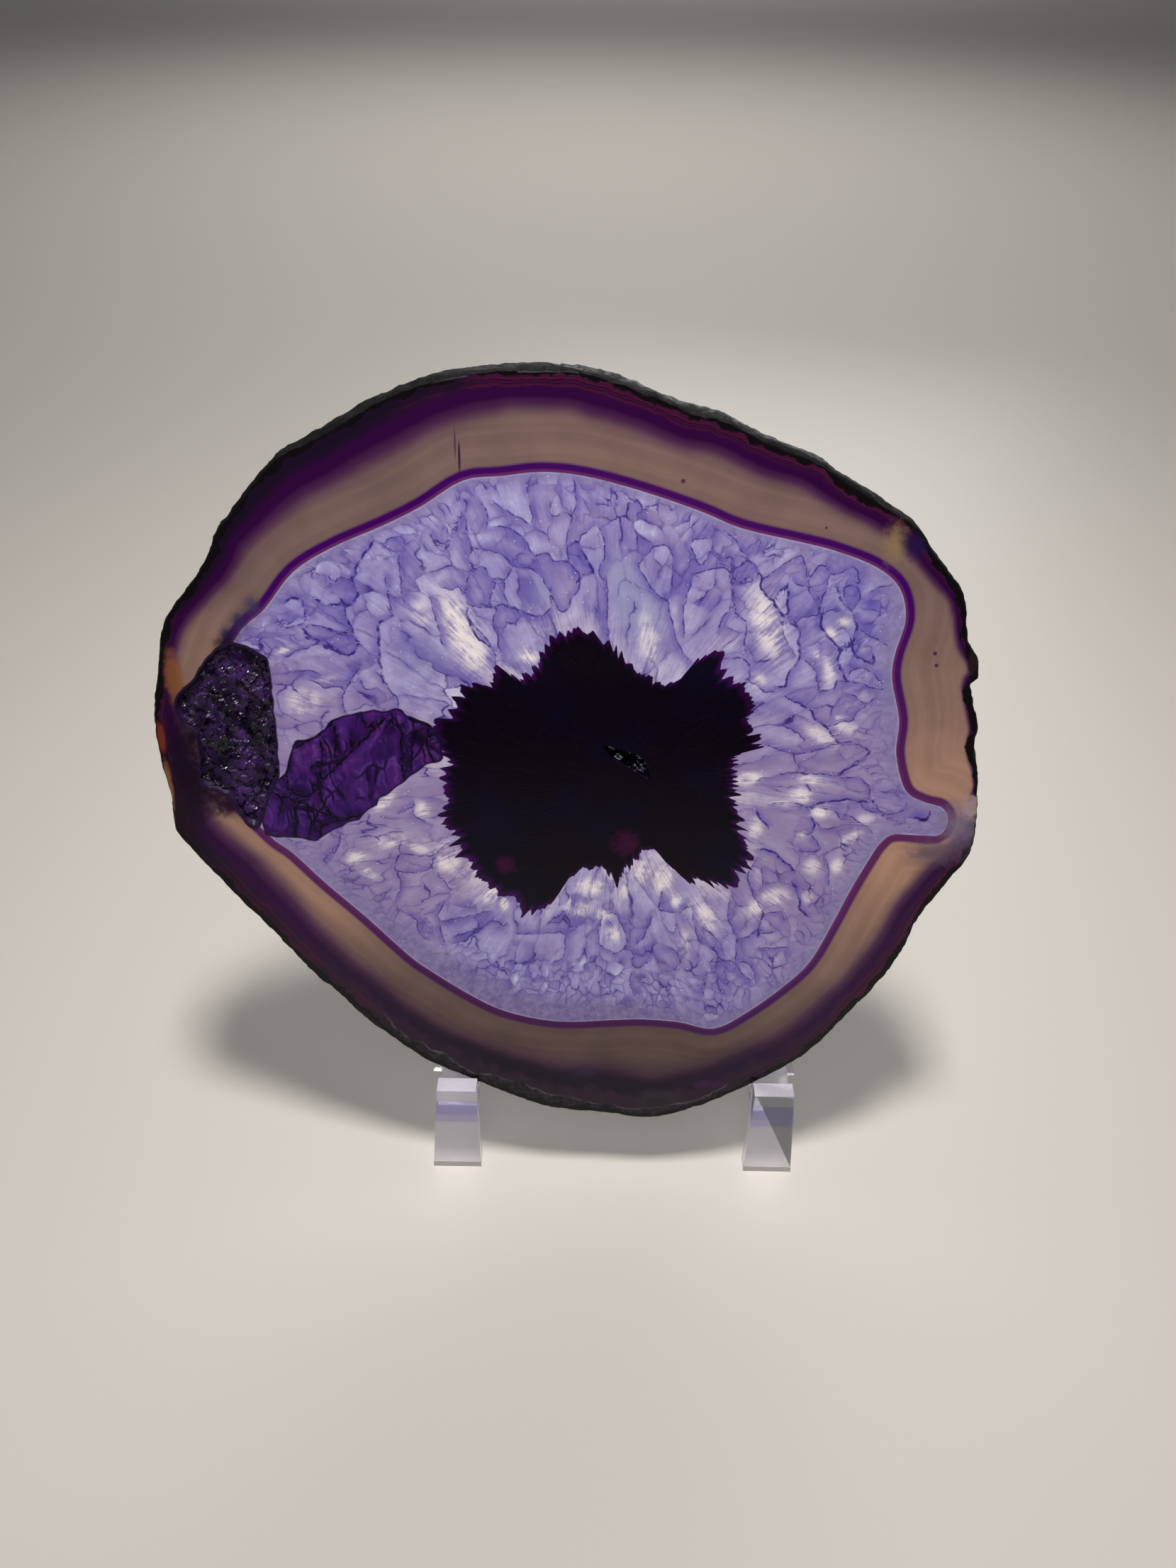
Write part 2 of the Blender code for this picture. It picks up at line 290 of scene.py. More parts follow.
    def attribute(self, name):
        """Read a number that the mesh carries."""
        return self.add("ShaderNodeAttribute", attribute_name=name).outputs["Fac"]

    def flat_map(self, name):
        """Read one of the mesh's own UV maps."""
        return self.add("ShaderNodeUVMap", uv_map=name).outputs[0]


def new_group(name, inputs, outputs):
    """Start a shader node group, and return its wires, its inputs and its output node."""
    tree = bpy.data.node_groups.new(name, "ShaderNodeTree")
    for label, kind in inputs:
        tree.interface.new_socket(label, in_out="INPUT", socket_type="NodeSocket" + kind)
    for label, kind in outputs:
        tree.interface.new_socket(label, in_out="OUTPUT", socket_type="NodeSocket" + kind)
    wires = Wires(tree)
    given = wires.add("NodeGroupInput").outputs
    result = wires.add("NodeGroupOutput").inputs
    return wires, given, result


def use_group(wires, name, **values):
    """Place a group in a material with its own values, and return its outputs."""
    made = wires.add("ShaderNodeGroup", node_tree=bpy.data.node_groups[name])
    for label, value in values.items():
        wires.put(made.inputs[label.replace("_", " ")], value)
    return made.outputs


def new_material(name):
    """Start a material, and return it with its wires and its Principled shader."""
    made = bpy.data.materials.new(name)
    made.use_nodes = True
    wires = Wires(made.node_tree)
    return made, wires, made.node_tree.nodes["Principled BSDF"]


# %% [markdown]
# The stone is drawn as three nested outlines, each read off the face in millimetres. The rim is
# where the rough skin ends. The line is the thin purple layer where smooth chalcedony stops and
# quartz crystals start to grow inwards. The heart is the dark quartz that filled the middle last.

# %% The stone's outlines
RIM = (
    (-17, 126.5), (-12, 126.5), (-6.5, 126), (3, 123), (8, 121), (14, 119.5), (20.5, 116.5),
    (27.5, 114), (32.5, 111), (38.5, 107.5), (43.5, 104.5), (46.5, 101), (50, 97), (53, 93),
    (54.5, 86), (56.5, 83), (57, 80), (56, 78.5), (58, 71.5), (58, 68), (59.5, 62.5),
    (60.5, 53.5), (60, 47.5), (57, 42.5), (53, 35.5), (50.5, 28), (47, 21.5), (42.5, 15),
    (36, 6.5), (30.5, 2), (22, -3.5), (15, -7), (7, -9.5), (-2, -8.5), (-12, -7.5), (-20, -4.5),
    (-28.5, -0.5), (-35.5, 3), (-41, 7.5), (-46, 12), (-51, 17.5), (-55.5, 22), (-62.5, 31),
    (-67, 36.5), (-75, 47), (-77, 50.5), (-77, 55), (-78, 64), (-78, 71), (-77, 76), (-75, 85),
    (-73, 89), (-67, 96.5), (-64.5, 101.5), (-61.5, 105), (-55, 112.5), (-51.5, 114.5),
    (-46.5, 117), (-41.5, 120), (-36.5, 122.5), (-31, 124.5), (-23.5, 126),
)
LINE = (
    (-63.5, 84), (-58, 89.5), (-53, 95.5), (-46.5, 99.5), (-38.5, 103), (-32.5, 106),
    (-26, 110), (-20, 110.8), (-14, 111.5), (-7.5, 111), (1, 109), (10.5, 106), (17, 103.5),
    (26.5, 101.5), (32, 100.2), (38.5, 97.8), (42.5, 94.5), (44, 89.5), (43, 84), (43, 79.5),
    (45, 72.5), (45.2, 66.5), (47.5, 60), (51, 57.8), (54, 57), (55.5, 54.5), (54, 51.5),
    (47, 51.8), (44.5, 50), (42.5, 46), (40, 40), (38, 34.5), (34.5, 26), (30, 20.5), (24, 15),
    (18, 11.2), (11.5, 12.5), (4.5, 13), (-1, 12.7), (-11, 12.2), (-20.5, 14.2), (-27.5, 18),
    (-34.5, 23), (-38, 26), (-45, 33.5), (-52, 40.5), (-57, 46), (-61, 49.5), (-67, 58),
    (-68.5, 70),
)
HEART = (
    (-32, 71), (-29, 72), (-27.3, 76.5), (-24.2, 77.6), (-22.4, 77.4), (-21.3, 80.7),
    (-17.8, 78.6), (-14.8, 80.8), (-13.3, 84.3), (-10.7, 86.5), (-7.1, 86.8), (-3.9, 85.3),
    (-0.6, 82.5), (2.7, 79.8), (5.8, 78), (9.2, 79.3), (11.3, 82.6), (15, 83.2), (15.8, 79.8),
    (18.5, 78.4), (20.7, 76), (20.4, 71), (23, 67.5), (18.7, 65.6), (19.2, 58.2), (20.2, 52.7),
    (22.2, 48.2), (22.2, 45.1), (20, 43.1), (20, 40.7), (13.6, 42), (11.9, 41.7), (7.5, 45.7),
    (5, 48.2), (1.4, 44.7), (-0.8, 41.4), (-4.3, 44.6), (-9.1, 42.1), (-12.1, 37),
    (-17.3, 34.8), (-19.9, 37.9), (-24.3, 41.2), (-27.6, 46.6), (-31.3, 52.6), (-29.9, 56.9),
    (-30.8, 60.6), (-29.6, 64.2), (-31, 65.6), (-31.7, 68.6),
)
CENTRE = (-3.0, 61.0)


def smooth_loop(points, steps):
    """Return a closed smooth curve through the points, with `steps` samples for each."""
    knots = np.array(points, float)
    before = np.roll(knots, 1, axis=0)
    after = np.roll(knots, -1, axis=0)
    later = np.roll(knots, -2, axis=0)
    rows = []
    for s in range(steps):
        t = s / steps
        bend = (2 * before - 5 * knots + 4 * after - later) * t * t
        twist = (3 * knots - before - 3 * after + later) * t ** 3
        rows.append(0.5 * (2 * knots + (after - before) * t + bend + twist))
    return np.stack(rows, axis=1).reshape(-1, 2)


def reach(loop, angles):
    """Return how far a loop lies from the stone's centre in each direction."""
    start = loop - np.array(CENTRE)
    edge = np.roll(loop, -1, axis=0) - loop
    ray = np.stack([np.cos(angles), np.sin(angles)], axis=1)[:, None, :]
    cross = ray[..., 0] * edge[:, 1] - ray[..., 1] * edge[:, 0]
    cross = np.where(np.abs(cross) < 1e-9, 1e-9, cross)
    distance = (start[:, 0] * edge[:, 1] - start[:, 1] * edge[:, 0]) / cross
    share = (start[:, 0] * ray[..., 1] - start[:, 1] * ray[..., 0]) / cross
    hit = (share >= 0.0) & (share <= 1.0) & (distance > 0.0)
    return np.where(hit, distance, 0.0).max(axis=1)


AROUND = 720
angles = math.pi + np.arange(AROUND) * 2.0 * math.pi / AROUND
rim_reach = reach(smooth_loop(RIM, 4), angles)
line_reach = reach(smooth_loop(LINE, 4), angles)
print("rim is", round(rim_reach.min(), 1), "to", round(rim_reach.max(), 1), "mm from the centre")

# %% [markdown]
# The dark heart meets the pale quartz in hundreds of little crystal tips, so its outline is
# jagged. Saw teeth of three sizes are added to the smooth outline. On its right side the tips
# are long and fine, like fur, and they are kept short elsewhere.

# %% Give the heart its crystal tips
TOOTH_SIZES = ((2.9, 0.8), (1.45, 0.55), (0.75, 0.28))
FUR_DIRECTION = math.radians(5.0)


def saw(value):
    """Return a triangle wave between -1 and 1."""
    return 4.0 * np.abs(value - np.floor(value + 0.5)) - 1.0


def wander(values, scale, seed):
    """Return soft noise along a closed run of values."""
    return np.array([noise.noise(Vector((v * scale, seed, 0.5 * seed))) for v in values])


heart_base = reach(smooth_loop(HEART, 3), angles)
turned = np.roll(heart_base, -1)
steps_along = np.hypot(heart_base * 2.0 * math.pi / AROUND, turned - heart_base)
heart_along = np.cumsum(steps_along)
teeth = np.zeros(AROUND)
for seed, (pitch, height) in enumerate(TOOTH_SIZES, 1):
    phase = heart_along / pitch + 1.4 * wander(heart_along, 0.23, seed)
    strength = 0.5 + 1.7 * wander(heart_along, 0.1, 10 + seed)
    teeth += height * np.clip(strength, 0.0, 1.5) * saw(phase)
fur = np.clip(np.cos(angles - FUR_DIRECTION), 0.0, 1.0) ** 6
teeth += fur * 0.75 * saw(heart_along / 0.9 + wander(heart_along, 0.4, 30))
heart_reach = heart_base + teeth
print("heart outline is", round(steps_along.sum(), 1), "mm long")

# %% [markdown]
# The slab itself starts as one flat grid. Its columns are wrapped round the stone's centre, and
# its rows run from the middle of the polished face, over the rough rim, to the middle of the
# back. Every row of vertices then lies along one of the outlines or evenly between two of them,
# which keeps the edges between the layers crisp.

# %% The rows of the slab
FRONT_ROWS = (8, 56, 26)
RIM_SHARES = (0.05, 0.14, 0.24, 0.36, 0.48, 0.6, 0.72, 0.83, 0.92, 0.97)
BACK_ROWS = (7, 8, 3)
FACE_INSET = 0.2
TOP_SKIN = 0.35
TOP_SKIN_FROM = 95.0
TOP_SKIN_RUN = 32.0


def slab_rows():
    """Return each row of the grid as a zone, from 0 in the middle to 3 at the rim, and a depth."""
    rows = [(0.0, 0.0)]
    for zone, count in enumerate(FRONT_ROWS):
        rows += [(zone + (i + 1) / count, 0.0) for i in range(count)]
    rows += [(3.0, share) for share in RIM_SHARES]
    rows.append((3.0, 1.0))
    for zone, count in zip((3, 2, 1), BACK_ROWS):
        rows += [(zone - (i + 1) / count, 1.0) for i in range(count)]
    return rows


def rim_offset(flat, share):
    """Return how far the rough rim stands out of its outline between the two faces."""
    bulge = math.sqrt(max(0.0, math.sin(math.pi * share)))
    depth = share * THICKNESS
    slow = noise.noise(Vector((flat.x * 0.12, flat.y * 0.12, depth * 0.25 + 3.0)))
    fine = noise.noise(Vector((flat.x * 0.55, flat.y * 0.55, depth * 0.8 + 9.0)))
    grit = noise.noise(Vector((flat.x * 1.6, flat.y * 1.6, depth * 1.6 + 5.0)))
    top_skin = max(0.0, flat.y - TOP_SKIN_FROM) / TOP_SKIN_RUN
    inset = FACE_INSET + TOP_SKIN * top_skin * (1.0 - share)
    rough = 0.35 + 0.45 * slow + 0.3 * fine + 0.16 * grit
    edge = 0.22 * fine + 0.12 * grit
    return bulge * rough - (1.0 - bulge) * (inset - edge)


def slab_place(column, zone, share):
    """Return the place of one vertex of the slab."""
    i = column % AROUND
    heart, line, rim = heart_reach[i], line_reach[i], rim_reach[i]
    ray = Vector((math.cos(angles[i]), math.sin(angles[i])))
    edge = rim + rim_offset(Vector(CENTRE) + ray * rim, share)
    far = np.interp(zone, (0.0, 1.0, 2.0, 3.0), (0.0, heart, line, edge))
    flat = Vector(CENTRE) + ray * far
    return plane_point(flat.x, flat.y, share * THICKNESS)


rows = slab_rows()
bm = bmesh.new()
bmesh.ops.create_grid(bm, x_segments=AROUND, y_segments=len(rows) - 1, size=1.0)
for vert in bm.verts:
    column = round((vert.co.x + 1.0) / 2.0 * AROUND)
    row = round((vert.co.y + 1.0) / 2.0 * (len(rows) - 1))
    vert.co = slab_place(column, *rows[row])
bmesh.ops.remove_doubles(bm, verts=bm.verts, dist=1e-7)
bmesh.ops.recalc_face_normals(bm, faces=bm.faces)
slab_mesh = finish_mesh("agate_stone", bm)
slab = put_in_scene("agate_stone", slab_mesh)
print("slab has", len(slab_mesh.polygons), "faces in", len(rows), "rows")

# %% [markdown]
# Two hollows open in the polished face: a narrow slit in the heart, and a broad shallow pocket
# near the left rim where the stone broke away. A Boolean modifier cuts each of them with a plain
# plug, because that leaves the sharp edge that a saw cut through a hollow leaves.

# %% Cut the two hollows
SLIT = (
    (-4.2, 67.4), (-2, 67), (0, 66.5), (2, 65.8), (3.4, 64.8), (4.3, 63.5), (4.6, 62),
    (4.4, 60.6), (3, 61.2), (1.2, 62.4), (-0.6, 63.4), (-2.2, 64.4), (-3.4, 65.8),
)
SLIT_DEPTH = 3.4
POCKET = (
    (-63.8, 84), (-61, 83), (-58.8, 81.7), (-58.2, 81.1), (-58.15, 79), (-58.1, 75), (-58, 69),
    (-57.9, 63), (-58.4, 60), (-60, 57), (-63, 50.5),
    (-65.5, 53), (-67.5, 56.5), (-71.5, 58.5), (-71.5, 63), (-71.5, 68), (-73.5, 69.5),
    (-74.5, 72.5), (-73.5, 75), (-70.5, 78), (-67.5, 82),
)
POCKET_DEPTH = 2.2


def plug(name, outline, depth, floor_scale):
    """Return a closed plug that stands out of the face and narrows towards its floor."""
    made = bmesh.new()
    ring = [made.verts.new(plane_point(right, up, -1.0)) for right, up in outline]
    top = made.faces.new(ring)
    grown = bmesh.ops.extrude_face_region(made, geom=[top])["geom"]
    low = [item for item in grown if isinstance(item, bmesh.types.BMVert)]
    inward = plane_point(0.0, 0.0, depth + 1.0) - plane_point(0.0, 0.0, 0.0)
    bmesh.ops.translate(made, verts=low, vec=inward)
    centre = sum((vert.co for vert in low), Vector()) / len(low)
    for vert in low:
        vert.co = centre + (vert.co - centre) * floor_scale
    bmesh.ops.recalc_face_normals(made, faces=made.faces)
    return put_in_scene(name, finish_mesh(name, made))


def jagged(loop, amount, scale, seed):
    """Roughen an outline by soft noise, in millimetres."""
    rough = []
    for right, up in loop:
        here = Vector((right * scale, up * scale, seed))
        push = noise.noise_vector(here) * amount
        rough.append((right + push.x, up + push.y))
    return rough


slit_loop = smooth_loop(SLIT, 5)
pocket_loop = np.array(jagged(smooth_loop(POCKET, 6), 0.35, 0.9, 4.0))
plugs = [plug("slit_plug", slit_loop, SLIT_DEPTH, 0.6)]
plugs.append(plug("pocket_plug", pocket_loop, POCKET_DEPTH, 0.88))
for shape in plugs:
    tool = slab.modifiers.new(shape.name, "BOOLEAN")
    tool.operation = "DIFFERENCE"
    tool.solver = "EXACT"
    tool.object = shape
graph = bpy.context.evaluated_depsgraph_get()
cut_mesh = bpy.data.meshes.new_from_object(slab.evaluated_get(graph))
slab.modifiers.clear()
slab.data = cut_mesh
for shape in plugs:
    bpy.data.objects.remove(shape, do_unlink=True)
print("after the cuts the slab has", len(cut_mesh.polygons), "faces")

# %% [markdown]
# The layers of an agate follow its outlines, so the colours do too. Each vertex therefore carries
# a few plain measures: which zone it is in, and how far it is from the rim and from the purple
# line. A shader can turn such distances into bands of any width without any drawing.

# %% Measure the slab for its colours


def edge_distance(flats, loop):
    """Return the distance in millimetres of each flat point from a closed loop."""
    best = np.full(len(flats), 1e9)
    for start, end in zip(loop, np.roll(loop, -1, axis=0)):
        run = end - start
        share = np.clip(((flats - start) @ run) / max(run @ run, 1e-12), 0.0, 1.0)
        near = flats - start - share[:, None] * run
        best = np.minimum(best, np.hypot(near[:, 0], near[:, 1]))
    return best


def inside(flats, loop):
    """Return which flat points lie inside a closed loop."""
    odd = np.zeros(len(flats), bool)
    for (ax, ay), (bx, by) in zip(loop, np.roll(loop, -1, axis=0)):
        spans = (ay > flats[:, 1]) != (by > flats[:, 1])
        height = (by - ay) if by != ay else 1e-12
        crossing = ax + (flats[:, 1] - ay) / height * (bx - ax)
        odd ^= spans & (flats[:, 0] < crossing)
    return odd


def signed_distance(flats, loop):
    """Return distances from a loop that are negative inside it."""
    distance = edge_distance(flats, loop)
    return np.where(inside(flats, loop), -distance, distance)


def store(mesh, name, values):
    """Keep one number for each vertex on the mesh."""
    layer = mesh.attributes.new(name, "FLOAT", "POINT")
    layer.data.foreach_set("value", np.asarray(values, np.float32))


places = np.empty(len(cut_mesh.vertices) * 3)
cut_mesh.vertices.foreach_get("co", places)
right, up, depth = plane_coordinates(places.reshape(-1, 3))
flats = np.stack([right, up], axis=1)
from_centre = flats - np.array(CENTRE)
turn = np.arctan2(from_centre[:, 1], from_centre[:, 0]) % (2.0 * math.pi)
far = np.hypot(from_centre[:, 0], from_centre[:, 1])
turns = angles % (2.0 * math.pi)
order = np.argsort(turns)


def around(values):
    """Read values that go round the stone at each vertex's direction."""
    return np.interp(turn, turns[order], np.asarray(values)[order], period=2.0 * math.pi)


heart_here, line_here, rim_here = around(heart_reach), around(line_reach), around(rim_reach)
zone = np.where(far < heart_here, far / heart_here, 1.0 + (far - heart_here) / (line_here - heart_here))
zone = np.where(far > line_here, 2.0 + (far - line_here) / (rim_here - line_here), zone)
rim_mm = edge_distance(flats, smooth_loop(RIM, 3))
rim_mm = np.where(far > rim_here, 0.0, rim_mm)
line_mm = edge_distance(flats, smooth_loop(LINE, 4)) * np.where(far > line_here, 1.0, -1.0)
store(cut_mesh, "zone", zone)
store(cut_mesh, "rim_mm", rim_mm)
store(cut_mesh, "line_mm", line_mm)
store(cut_mesh, "depth_mm", depth)
print("zones run from", round(float(zone.min()), 2), "to", round(float(zone.max()), 2))

# %% [markdown]
# Not every layer is as wide all the way round. The purple dye reached deep at the top left and
# the bottom, and only a little at the right, and the chalcedony is warmer where iron stained it.
# A few values at named directions, in degrees, say so, and the rest is read between them.

# %% Widths and tints that change round the stone
PURPLE_DEPTH = {
    0: 1.0, 15: 1.3, 35: 2.4, 60: 4.3, 90: 5.3, 105: 5.0, 120: 6.8, 135: 6.5, 150: 3.9,
    165: 2.6, 180: 5.0, 195: 7.2, 210: 6.5, 230: 6.4, 250: 7.2, 270: 9.0, 290: 7.0, 310: 5.4,
    330: 4.6, 345: 4.4, 353: 2.4,
}
WARMTH = {
    0: 0.75, 15: 0.3, 35: 0.0, 60: 0.1, 90: 0.1, 120: 0.0, 150: 0.0, 165: 0.35, 195: 0.75,
    210: 0.65, 230: 0.05, 270: 0.0, 310: 0.15, 330: 0.6, 345: 1.0,
}
# SHADE scales the brightness of the grey chalcedony round the stone: darker towards the bottom.
SHADE = {
    0: 1.1, 15: 0.95, 35: 0.85, 60: 0.86, 105: 0.86, 120: 0.83, 150: 0.84, 180: 0.88, 195: 1.0,
    210: 0.92, 230: 0.62, 250: 0.52, 270: 0.5, 290: 0.5, 310: 0.72, 330: 0.9, 345: 1.0,
}
DUSKY = {
    0: 0.0, 200: 0.0, 215: 0.25, 230: 0.7, 250: 1.0, 280: 1.0, 300: 0.45, 315: 0.15, 330: 0.0,
}
WINE_SHARE = {
    0: 1.0, 30: 1.0, 60: 0.9, 90: 1.0, 105: 0.9, 118: 0.35, 130: 0.05, 150: 0.1, 162: 0.8,
    180: 0.9, 200: 0.4, 230: 0.5, 250: 0.2, 280: 0.2, 300: 0.5, 320: 1.0,
}
COARSENESS = {
    0: 0.5, 15: 0.3, 30: 0.3, 45: 0.5, 60: 0.75, 90: 0.8, 120: 0.9, 150: 0.7, 180: 0.6,
    210: 0.25, 240: 0.05, 270: 0.05, 285: 0.35, 300: 0.45, 330: 0.4,
}
# GLOW is painted light: how much the crystal tips at the heart's edge glow cream, as if lit through.
GLOW = {
    0: 0.6, 40: 0.3, 70: 0.5, 90: 0.4, 110: 0.5, 135: 0.8, 160: 0.4, 190: 0.5, 215: 0.9,
    250: 0.7, 270: 1.0, 300: 0.8, 330: 0.6,
}


def by_direction(table):
    """Read a table of degrees and values at each vertex's direction."""
    return np.interp(np.degrees(turn), list(table), list(table.values()), period=360.0)


for name, table in (
    ("purple_mm", PURPLE_DEPTH), ("warmth", WARMTH), ("shade", SHADE), ("dusky", DUSKY),
    ("wine", WINE_SHARE), ("coarse", COARSENESS), ("glow", GLOW),
):
    store(cut_mesh, name, by_direction(table))

# %% [markdown]
# Between the pocket and the heart lies a patch of dark crystals that split along their flat
# faces. It has an outline of its own, and so has the pocket, and the distance to each is kept.

# %% The cleaved patch and the pocket
CLEAVED = (
    (-55.5, 66), (-53, 67.5), (-51, 68.7), (-48.2, 71), (-46, 72.3), (-42.6, 73), (-39.8, 72.8),
    (-37.5, 73.1), (-35.5, 71.6), (-32, 70), (-30.6, 67.9), (-30.6, 64.8), (-33, 63),
    (-36.9, 60.2), (-40.1, 57.2), (-44.6, 53.9), (-47.1, 51.7), (-52, 49.2), (-55.2, 48.6),
    (-59.4, 49.3), (-62, 50.5), (-60.5, 58), (-57.5, 61),
)
cleaved_loop = np.array(jagged(smooth_loop(CLEAVED, 4), 0.9, 0.5, 2.0))
store(cut_mesh, "cleaved_mm", signed_distance(flats, cleaved_loop))
store(cut_mesh, "pocket_mm", signed_distance(flats, pocket_loop))

# %% [markdown]
# Dye crept along the joints between the crystals, so each joint shows as a thin violet line.
# The joints that catch the eye are drawn here in millimetres on the face: thin ones, dark ones,
# and the breaks of the cleaved patch. Every vertex then keeps its distance to the nearest line,
# once plain and once with a sign for its side, because a value that passes through zero between
# two vertices draws a far crisper line than one that only gets small.

